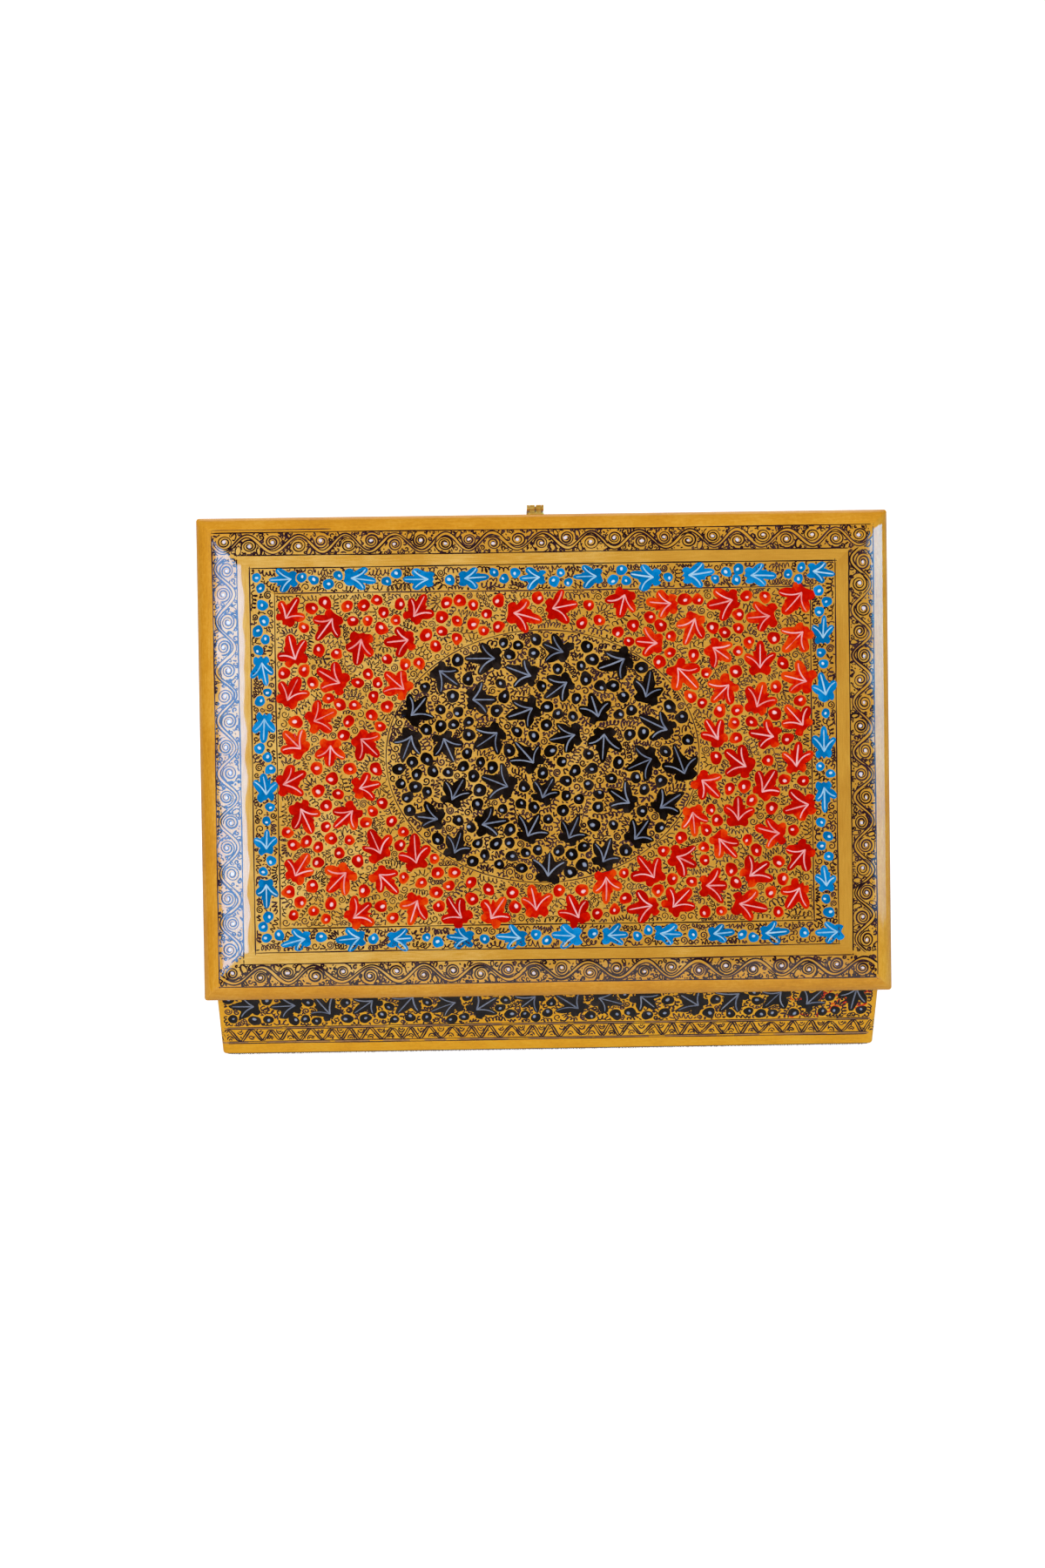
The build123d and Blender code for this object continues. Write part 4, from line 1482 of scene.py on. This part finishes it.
def in_oval(x, y):
    """Roughly how far inside the oval a point is."""
    dx, dy = x - oval_middle[0], y - oval_middle[1]
    share = np.sqrt((dx / oval_halves[0]) ** 2 + (dy / oval_halves[1]) ** 2) + 1e-9
    slope = np.sqrt((dx / oval_halves[0] ** 2) ** 2 + (dy / oval_halves[1] ** 2) ** 2) / share + 1e-9
    return (1 - share) / slope


lid_pen, lid_dots = Layer(on_lid), Layer(on_lid)
line_dice = np.random.default_rng(11)
for insets in (scroll_outside, scroll_inside, blue_outside, blue_inside):
    rule_box(lid_pen, insets, line_dice)
top_line = lid_depth / 2 - top_line_inset
ruled(lid_pen, (top_line_start, top_line), (top_line_end, top_line + 0.15), line_dice, width=0.24)
around = np.linspace(0, tau, 161)
oval_line = np.stack([oval_halves[0] * np.cos(around), oval_halves[1] * np.sin(around)], 1) + oval_middle
stroke(lid_pen, oval_line, oval_pen * (1 + 0.2 * np.sin(around * 9)), tone=0.6)

(_, outer_corner), (_, inner_corner) = corners_of(scroll_outside), corners_of(scroll_inside)
scroll_dice = np.random.default_rng(12)
for side in SIDES:
    reach = (outer_corner[0] if side in ("front", "back") else inner_corner[1]) - 0.3
    lines = (scroll_outside[side], scroll_inside[side])
    heavy = heavy_pen if side == "back" else 1.0
    band = Scroll(lid_pen, lid_dots, lid_side(side), (-reach, reach), lines, scroll_dice, heavy)
    band.run(swing_lengths[side])
lid_pen.finish("lid_lines_and_scroll", "lid", "painted_pulp", ink)
lid_dots.finish("lid_scroll_dots", "lid", "painted_pulp", lilac_dot)

# %% [markdown]
# ## The blue border
# A single file of blue leaves runs round the lid between two ruled boxes. They could be laid along a
# path. Spreading them in so narrow a strip does the same, because they can only line up. A leaf here
# points one way or the other along its side, and is slimmer than those in the wide fields.

# %% Paint the blue border
blue_leaves, blue_edge, blue_gap = 31, 3.7, 17.0
blue_motifs = {"span": 8.7, "berries": 72, "radius": 1.6, "weight": 1.2, "slim": 0.8}


def between(outer, inner):
    """The strip between two ruled rectangles of the lid."""
    (low, high), (inner_low, inner_high) = corners_of(outer), corners_of(inner)

    def room(x, y):
        """How far inside the strip a point is."""
        return np.minimum(inside_box(x, y, low, high), -inside_box(x, y, inner_low, inner_high))

    return low, high, room


blue_dice = np.random.default_rng(21)
blue_strip = between(blue_outside, blue_inside)
blue_points = spread(blue_leaves, blue_strip, blue_edge, blue_gap, blue_dice)
runs_along = lid_depth / 2 - np.abs(blue_points[:, 1]) < lid_width / 2 - np.abs(blue_points[:, 0])
blue_turns = np.where(runs_along, pi / 2, 0) + pi * blue_dice.integers(0, 2, len(blue_points))
blue_turns = blue_turns + blue_dice.normal(0, 0.1, len(blue_points))
paint_field("lid_blue", "lid", on_lid, blue_paints, blue_strip, (blue_points, blue_turns), blue_dice,
            **blue_motifs)

# %% [markdown]
# ## The red field
# The widest field is red, and it has a hole in it for the oval. It could be cut from a full field by
# a boolean. It is simpler to say what room a point has: the less of its distance to the ruled box and
# its distance to the oval. The leaves then turn every way.

# %% Paint the red field
red_leaves, red_edge, red_gap = 66, 4.8, 12.0
red_motifs = {"span": 9.5, "berries": 166, "radius": 1.9, "weight": 0.95}
field_low, field_high = corners_of(blue_inside)


def in_red_field(x, y):
    """How far a point is inside the ruled box and outside the oval."""
    return np.minimum(inside_box(x, y, field_low, field_high), -in_oval(x, y))


def strewn(region, count, edge, gap, dice):
    """Leaves that are spread over a region and turn every way."""
    points = spread(count, region, edge, gap, dice)
    return points, dice.uniform(0, tau, len(points))


red_dice = np.random.default_rng(31)
red_region = (field_low, field_high, in_red_field)
red_places = strewn(red_region, red_leaves, red_edge, red_gap, red_dice)
paint_field("lid_red", "lid", on_lid, red_paints, red_region, red_places, red_dice, **red_motifs)

# %% [markdown]
# ## The black oval
# The leaves in the middle are black, a little larger and drawn in haste, so their edges are rougher,
# and the pen round them is heavier. Another brush or another leaf could be made for them. The same
# leaf does it, with a number for how ragged it is.

# %% Paint the black oval
oval_leaves, oval_edge, oval_gap = 33, 5.3, 12.3
oval_motifs = {"span": 9.8, "berries": 110, "radius": 1.88, "ragged": 0.6, "weight": 1.35}
oval_dice = np.random.default_rng(41)
oval_region = (np.subtract(oval_middle, oval_halves), np.add(oval_middle, oval_halves), in_oval)
oval_places = strewn(oval_region, oval_leaves, oval_edge, oval_gap, oval_dice)
paint_field("lid_black", "lid", on_lid, black_paints, oval_region, oval_places, oval_dice, **oval_motifs)

# %% [markdown]
# ## Paint the tray's sides
# Each wall has a plain foot, then two pairs of ruled lines with thin brown paint between the lines of
# a pair. Between the pairs runs a band of arches, and above them come black leaves and berries. The
# strip above the leaves stays plain, because the hinges are let in there. The arches could be one
# arch in an array. Drawn as a doubled zigzag with small arches in its bays, no two come out alike.

# %% Draw the arches and the wash
arch_low, arch_high = 5.5, 10.4
foot_line, leaf_low, leaf_high = 4.7, 11.1, 24.1
arch_pitch = 3.15
arch_pen, tick_pen, foot_pen = 0.45, 0.34, 0.34
arch_margin = 0.3
zigzag_half = 0.4  # half the way along between the zigzag's two lines
zigzag_sharpness = 0.8  # 0 is a sine wave, 1 a zigzag with sharp corners
points_per_bay = 8


def arches(pen, start, end, dice):
    """A zigzag of doubled pen lines, with small arches and ticks in each bay."""
    bays = int(round((end - start) / arch_pitch))
    pitch = (end - start) / bays
    middle, half = (arch_low + arch_high) / 2, (arch_high - arch_low) / 2 - arch_margin
    along = np.linspace(start, end, bays * points_per_bay + 1)
    phase = (along - start) / pitch * pi + 0.55 * np.sin(along / 3.3 + dice.uniform(0, tau))
    wave = np.arcsin(zigzag_sharpness * np.sin(phase)) / asin(zigzag_sharpness) * half
    wave *= 1 + 0.1 * np.sin(along / 3.1 + dice.uniform(0, tau))
    for shift in (-zigzag_half, zigzag_half):
        drawn = np.stack([along + shift, middle + wave + dice.normal(0, 0.05, len(along))], 1)
        width = arch_pen * (1 + 0.25 * np.sin(along * 1.7 + dice.uniform(0, tau)))
        stroke(pen, drawn, width, tone=dice.uniform(0, 1))
    for bay in range(bays):
        sign = 1 if np.interp(start + (bay + 0.5) * pitch, along, wave) > 0 else -1
        foot = np.array([start + (bay + 0.5) * pitch + dice.normal(0, 0.12), middle - sign * half * 0.95])
        for size in (1.0, dice.uniform(0.35, 0.6)):
            reach = np.linspace(dice.uniform(-0.1, 0.5), pi - dice.uniform(-0.1, 0.7), 9)
            arch = foot + np.stack([size * np.cos(reach), sign * size * 1.7 * np.sin(reach)], 1)
            stroke(pen, arch, arch_pen * dice.uniform(0.75, 1.1), tone=dice.uniform(0, 1))
        for _ in range(dice.integers(1, 4)):
            tick = foot + (dice.uniform(-1.3, 1.3), sign * dice.uniform(0.3, 3.4))
            lean = dice.normal(0, 0.35, 2)
            drawn = bent(tick - lean, tick + dice.normal(0, 0.2, 2), tick + lean, 5)
            stroke(pen, drawn, tick_pen, tone=dice.uniform(0, 1))


def wash(layer, start, end, low, high, dice):
    """Thin brown paint, left between two ruled lines in pieces."""
    at = start
    while at < end:
        length = dice.uniform(6, 22)
        path = np.stack([np.linspace(at, min(at + length, end), 12), np.full(12, (low + high) / 2)], 1)
        width = (high - low) * dice.uniform(0.75, 1.0)
        stroke(layer, path, width, lift=wash_lift, tone=dice.uniform(0, 1, 12))
        at += length + dice.uniform(0.5, 6)


print(f"the arches stand {arch_high - arch_low:.1f} mm high, one every {arch_pitch} mm")

# %% [markdown]
# ## The four walls
# The walls could be one drawing, repeated. A painter doesn't repeat a wall, so each has its own seed
# and its own count of leaves, as many as its length holds.

# %% Paint the four walls
wall_leaf_gap, wall_berry_gap = 12.6, 4.2  # of wall for each leaf, and for each berry
wall_leaf_heights = (18.4, 19.3)
wall_motifs = {"span": 9.9, "radius": 1.85, "ragged": 0.6, "weight": 1.45}
for number, side in enumerate(SIDES):
    dice = np.random.default_rng(51 + number)
    start, end = strip_start[side], strip_start[side] + straight[side]
    pen = Layer(on_tray)
    for height in (foot_line, arch_low, arch_high, leaf_low):
        ruled(pen, (start, height), (end + corner_arc, height), dice, width=foot_pen)
    arches(pen, start + 0.2, end + corner_arc - 0.2, dice)
    pen.finish(f"tray_{side}_lines_and_arches", "tray", "painted_pulp", ink)
    brown = Layer(on_tray)
    wash(brown, start, end + corner_arc, foot_line, arch_low, dice)
    wash(brown, start, end + corner_arc, arch_high, leaf_low, dice)
    brown.finish(f"tray_{side}_wash", "tray", "painted_pulp", brown_wash)
    low, high = (start, leaf_low), (end, leaf_high)
    region = (low, high, partial(inside_box, low=low, high=high))
    count = int((end - start) / wall_leaf_gap)
    middles = start + (np.arange(count) + 0.5) * (end - start) / count + dice.normal(0, 0.5, count)
    leaf_points = np.stack([middles, dice.uniform(*wall_leaf_heights, count)], 1)
    places = (leaf_points, dice.uniform(0, tau, count))
    paint_field(f"tray_{side}", "tray", on_tray, black_paints, region, places, dice,
                berries=int((end - start) / wall_berry_gap), **wall_motifs)

# %% [markdown]
# ## The cloth's frayed edge
# The cloth under the base is cut, not hemmed, so loose ends of thread stand out round it as a fine
# fringe. Hair would be Blender's usual way, but hair has no solid body. Here each end is a thin
# pointed sliver of four faces, which is enough for something half a millimetre high.

# %% Fray the cloth
fringe_gap = 0.62
fringe_reach = (0.85, 1.0)  # past the cloth's edge, out to the base's own edge
fringe_root = ((-0.2, -1, 0.22), (-0.2, 1, 0.22), (-0.2, 0, 0.55))  # out, halves to a side, height
sliver = ((0, 1, 3), (1, 2, 3), (2, 0, 3), (0, 2, 1))


def cloth_fringe(dice):
    """Loose ends of thread round the edge of the cloth, each a thin pointed sliver."""
    low, high = (np.array(corner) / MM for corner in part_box("base_felt"))
    points, faces = [], []
    for across, along in ((0, 1), (1, 0)):
        for sign, edge in ((-1, low[across]), (1, high[across])):
            for at in np.arange(low[along] + 2, high[along] - 2, fringe_gap) + dice.normal(0, 0.12):
                reach = dice.uniform(*fringe_reach)
                lean = dice.normal(0, 0.25)
                half = dice.uniform(0.15, 0.25)
                tip = (reach, lean, dice.uniform(0.12, 0.42))
                faces += [tuple(len(points) + corner for corner in face) for face in sliver]
                for out, side, height in [(o, half * h, z) for o, h, z in fringe_root] + [tip]:
                    spot = np.zeros(3)
                    spot[across] = edge + sign * out
                    spot[along] = at + side
                    spot[2] = height
                    points.append(spot * MM)
    mesh = bpy.data.meshes.new("cloth_fringe")
    mesh.from_pydata([tuple(spot) for spot in points], [], faces)
    return mesh


piece(cloth_fringe(np.random.default_rng(71)), "tray", cloth)

# %% [markdown]
# ## Slips of red
# The brush that painted the red leaves slipped on one end of the back wall, and left short smears
# there. They could be left out, but they show that a hand painted the box. They are strokes like any
# other, clipped to the band of leaves.

# %% Let the brush slip
slip_count = 34
slip_reach = 26.0  # how far along the back wall the slips go
slip_widths = (0.35, 0.75)


def smears(layer, low, high, count, dice):
    """Slips of a brush that still held red."""
    for _ in range(count):
        at = dice.uniform(low, high)
        lean = polar(dice.uniform(0.8, 2.1), dice.uniform(0.4, 2.6))
        path = bent(at - lean, at + dice.normal(0, 0.9, 2), at + lean, 10)
        path = np.clip(path, low, high)
        width = dice.uniform(*slip_widths) * dice.uniform(0.7, 1.3, 10)
        stroke(layer, path, width, lift=slip_lift, tone=dice.uniform(0.6, 1))


red_slips = Layer(on_tray)
back_end = strip_start["back"] + straight["back"]
slip_low, slip_high = (back_end - slip_reach, leaf_low + 0.6), (back_end - 0.5, leaf_high - 1)
smears(red_slips, slip_low, slip_high, slip_count, np.random.default_rng(61))
red_slips.finish("tray_back_red_slips", "tray", "painted_pulp", red_paint)

# %% [markdown]
# ## Floor and room
# The box stands on a white floor in a white room. A lit backdrop could be modelled. A world that is
# white to the camera and dimmer as a lamp does it with less, and keeps the box's own shading. The
# floor glows a little for the camera, so that it is as white as the room and still takes the box's
# shadow. Mirrored in the lacquer, it is darker, as a floor beyond the lamps is.

# %% Lay the floor and light the room
floor_size = 6.0
floor_drop = 0.0002
floor_white, floor_mirrored = 0.8, 0.2  # the floor's colour, as seen and as mirrored
floor_glow, mirrored_glow = 0.75, 0.2  # its glow for the camera, and the share that is mirrored
room_light = 0.45


def make_floor():
    """A white floor a hair under the box."""
    mesh = bpy.data.meshes.new("floor")
    half = floor_size / 2
    corners = [(-half, -half), (half, -half), (half, half), (-half, half)]
    mesh.from_pydata([(x, y, -floor_drop) for x, y in corners], [], [(0, 1, 2, 3)])
    floor = bpy.data.objects.new("floor", mesh)
    bpy.context.scene.collection.objects.link(floor)
    material, tree, shader = new_material("white floor", Roughness=0.9)
    rays = add_node(tree, "LightPath")
    dimmed = times(tree, rays.outputs["Is Glossy Ray"], floor_mirrored - floor_white)
    tree.links.new(plus(tree, dimmed, floor_white), shader.inputs["Base Color"])
    mirrored = times(tree, rays.outputs["Is Glossy Ray"], mirrored_glow)
    seen = calculate(tree, "MAXIMUM", rays.outputs["Is Camera Ray"], mirrored)
    shader.inputs["Emission Color"].default_value = (1, 1, 1, 1)
    tree.links.new(times(tree, seen, floor_glow), shader.inputs["Emission Strength"])
    mesh.materials.append(material)


def make_world(ambient):
    """A room that is white to look at and in reflections, and lights the box by ambient."""
    world = bpy.data.worlds.new("white room")
    bpy.context.scene.world = world
    world.use_nodes = True
    tree = world.node_tree
    rays = add_node(tree, "LightPath")
    seen = calculate(tree, "MAXIMUM", rays.outputs["Is Camera Ray"], rays.outputs["Is Glossy Ray"])
    seen = calculate(tree, "MAXIMUM", seen, rays.outputs["Is Transmission Ray"])
    strength = plus(tree, times(tree, seen, 1 - ambient), ambient)
    shown = tree.nodes["Background"]
    shown.inputs["Color"].default_value = (1, 1, 1, 1)
    tree.links.new(strength, shown.inputs["Strength"])


make_floor()
make_world(room_light)
print("the floor lies", floor_drop, "m under the box")

# %% [markdown]
# ## Lamps and cards
# Two soft boxes light the box from the left and the right and one from above. What the lacquer
# mirrors is made apart from that light: small glowing cards show in the left bevel and the right edge
# as two pale strips, and dark cards keep the rest of the gloss deep. Bright lamps could do both jobs,
# but they would wash the colours out. The strips are blue, because their light falls on gold, and
# the two together make the pale grey of daylight.

# %% Choose the lamps and cards
soft_boxes = (  # name, degrees to the right and upwards, distance, size, power, colour
    ("left soft box", -28, 8, 1.2, (0.7, 0.9), 4.8, (1.0, 0.98, 0.95)),
    ("right soft box", 35, 14, 1.2, (0.7, 0.9), 2.6, (0.97, 0.98, 1.0)),
    ("top soft box", 0, 62, 1.2, (1.2, 0.6), 2.7, (1.0, 0.99, 0.97)),
)
glowing_cards = (  # name, degrees, distance, size, glow, colour, fade towards the lower end
    ("left strip", -24.4, 0, 1.098, (0.277, 0.42), 13.5, (0.19, 0.49, 1.0), 0.0),
    ("right strip", 50.8, 2, 1.1, (0.64, 0.38), 10.5, (0.10, 0.50, 0.96), 0.6),
    ("far right strip", 73, 2, 1.0, (0.30, 0.34), 9.5, (0.10, 0.50, 0.96), 0.6),
)
dark_cards = (  # name, degrees, distance, size
    ("dark wall behind the camera", 0, 20, 1.6, (5.0, 3.0)),
    ("dark wall on the left", -70, 10, 1.7, (2.4, 3.0)),
    ("dark wall on the right", 75, 10, 1.7, (2.0, 3.0)),
    ("dark ceiling", 0, 72, 1.4, (3.0, 1.4)),
)
print(len(soft_boxes), "soft boxes,", len(glowing_cards), "glowing and", len(dark_cards), "dark cards")

# %% [markdown]
# ## Aim the lamps and cards
# The open lid stands at a slant, and what it mirrors stands at a slant too. Each lamp could be aimed
# by eye. It is easier to give its angle from square on to the lid's face, and to set it upright
# beside the lid, so that a strip is mirrored as a strip.

# %% Aim the lamps and cards
lid_middle = on_lid([(0.0, 0.0)], 0.0)[0]


def off_the_lid(sideways, upwards):
    """A direction from the lid's middle, in degrees to the right of and above square on to its face."""
    side, lift = radians(sideways), radians(upwards)
    right = np.array([1.0, 0.0, 0.0])
    up = np.array([0.0, cos(open_angle), sin(open_angle)])
    out = np.cross(right, up)
    return out * cos(side) * cos(lift) + right * sin(side) * cos(lift) + up * sin(lift)


def facing_lid(made, away, distance):
    """Puts a lamp or card that far from the lid's middle, facing it and upright beside it."""
    side = np.cross((0.0, cos(open_angle), sin(open_angle)), away)
    side /= np.linalg.norm(side)
    up = np.cross(away, side)
    made.location = lid_middle * MM + away * distance
    made.rotation_euler = Matrix(np.stack([side, up, away], 1).tolist()).to_euler()
    made.visible_camera = False
    bpy.context.scene.collection.objects.link(made)


def soft_lamp(name, sideways, upwards, distance, size, power, colour):
    """A soft box aimed at the lid, which lights it but doesn't show in the lacquer."""
    data = bpy.data.lights.new(name, "AREA")
    data.shape = "RECTANGLE"
    data.size, data.size_y = size
    data.energy = power
    data.color = colour
    lamp = bpy.data.objects.new(name, data)
    facing_lid(lamp, off_the_lid(sideways, upwards), distance)
    lamp.visible_glossy = False


def card(name, sideways, upwards, distance, size, glow=0.0, colour=(1, 1, 1), fade=0.0):
    """A card that only reflections see: black, or glowing and fading towards its lower end."""
    mesh = bpy.data.meshes.new(name)
    x, y = size[0] / 2, size[1] / 2
    mesh.from_pydata([(-x, -y, 0), (x, -y, 0), (x, y, 0), (-x, y, 0)], [], [(0, 1, 2, 3)])
    material, tree, shader = new_material(name, Roughness=1.0)
    shader.inputs["Base Color"].default_value = (0, 0, 0, 1)
    shader.inputs["Specular IOR Level"].default_value = 0.0
    shader.inputs["Emission Color"].default_value = (*colour, 1)
    split = add_node(tree, "SeparateXYZ")
    tree.links.new(place_in(tree), split.inputs[0])
    climb = plus(tree, times(tree, split.outputs[1], fade / y), 1.0)
    tree.links.new(times(tree, climb, glow), shader.inputs["Emission Strength"])
    mesh.materials.append(material)
    made = bpy.data.objects.new(name, mesh)
    facing_lid(made, off_the_lid(sideways, upwards), distance)
    made.visible_diffuse = made.visible_shadow = made.visible_transmission = False


for soft_box in soft_boxes:
    soft_lamp(*soft_box)
for values in glowing_cards + dark_cards:
    card(*values)
print("all of them face the lid's middle at", lid_middle)

# %% [markdown]
# ## The camera
# The camera stands behind the open box and looks almost square on at the lid's face, so the lid's
# four bevels look equally wide and the wall under it is foreshortened. A camera could be aimed with a
# constraint. It is given by its place and its own three directions instead, which keeps its slight
# tilt.

# %% Set the camera
camera_place = (-0.012494, -0.554975, 0.391852)
camera_right = (0.9998471, -0.0155214, -0.0080545)
camera_up = (0.0149325, 0.5181480, 0.8551606)
camera_back = (-0.0090999, -0.8551501, 0.5183006)
camera_data = bpy.data.cameras.new("camera")
camera_data.lens = 45.0  # mm
camera_data.sensor_width = 36.0
camera_data.clip_start = 0.02
camera = bpy.data.objects.new("camera", camera_data)
axes = zip(camera_right, camera_up, camera_back, camera_place, strict=True)
camera.matrix_world = Matrix([*axes, (0, 0, 0, 1)])
bpy.context.scene.collection.objects.link(camera)
bpy.context.scene.camera = camera
bpy.context.scene.view_settings.view_transform = "Standard"
print(f"the camera stands {np.linalg.norm(camera_place - lid_middle * MM):.2f} m from the lid")
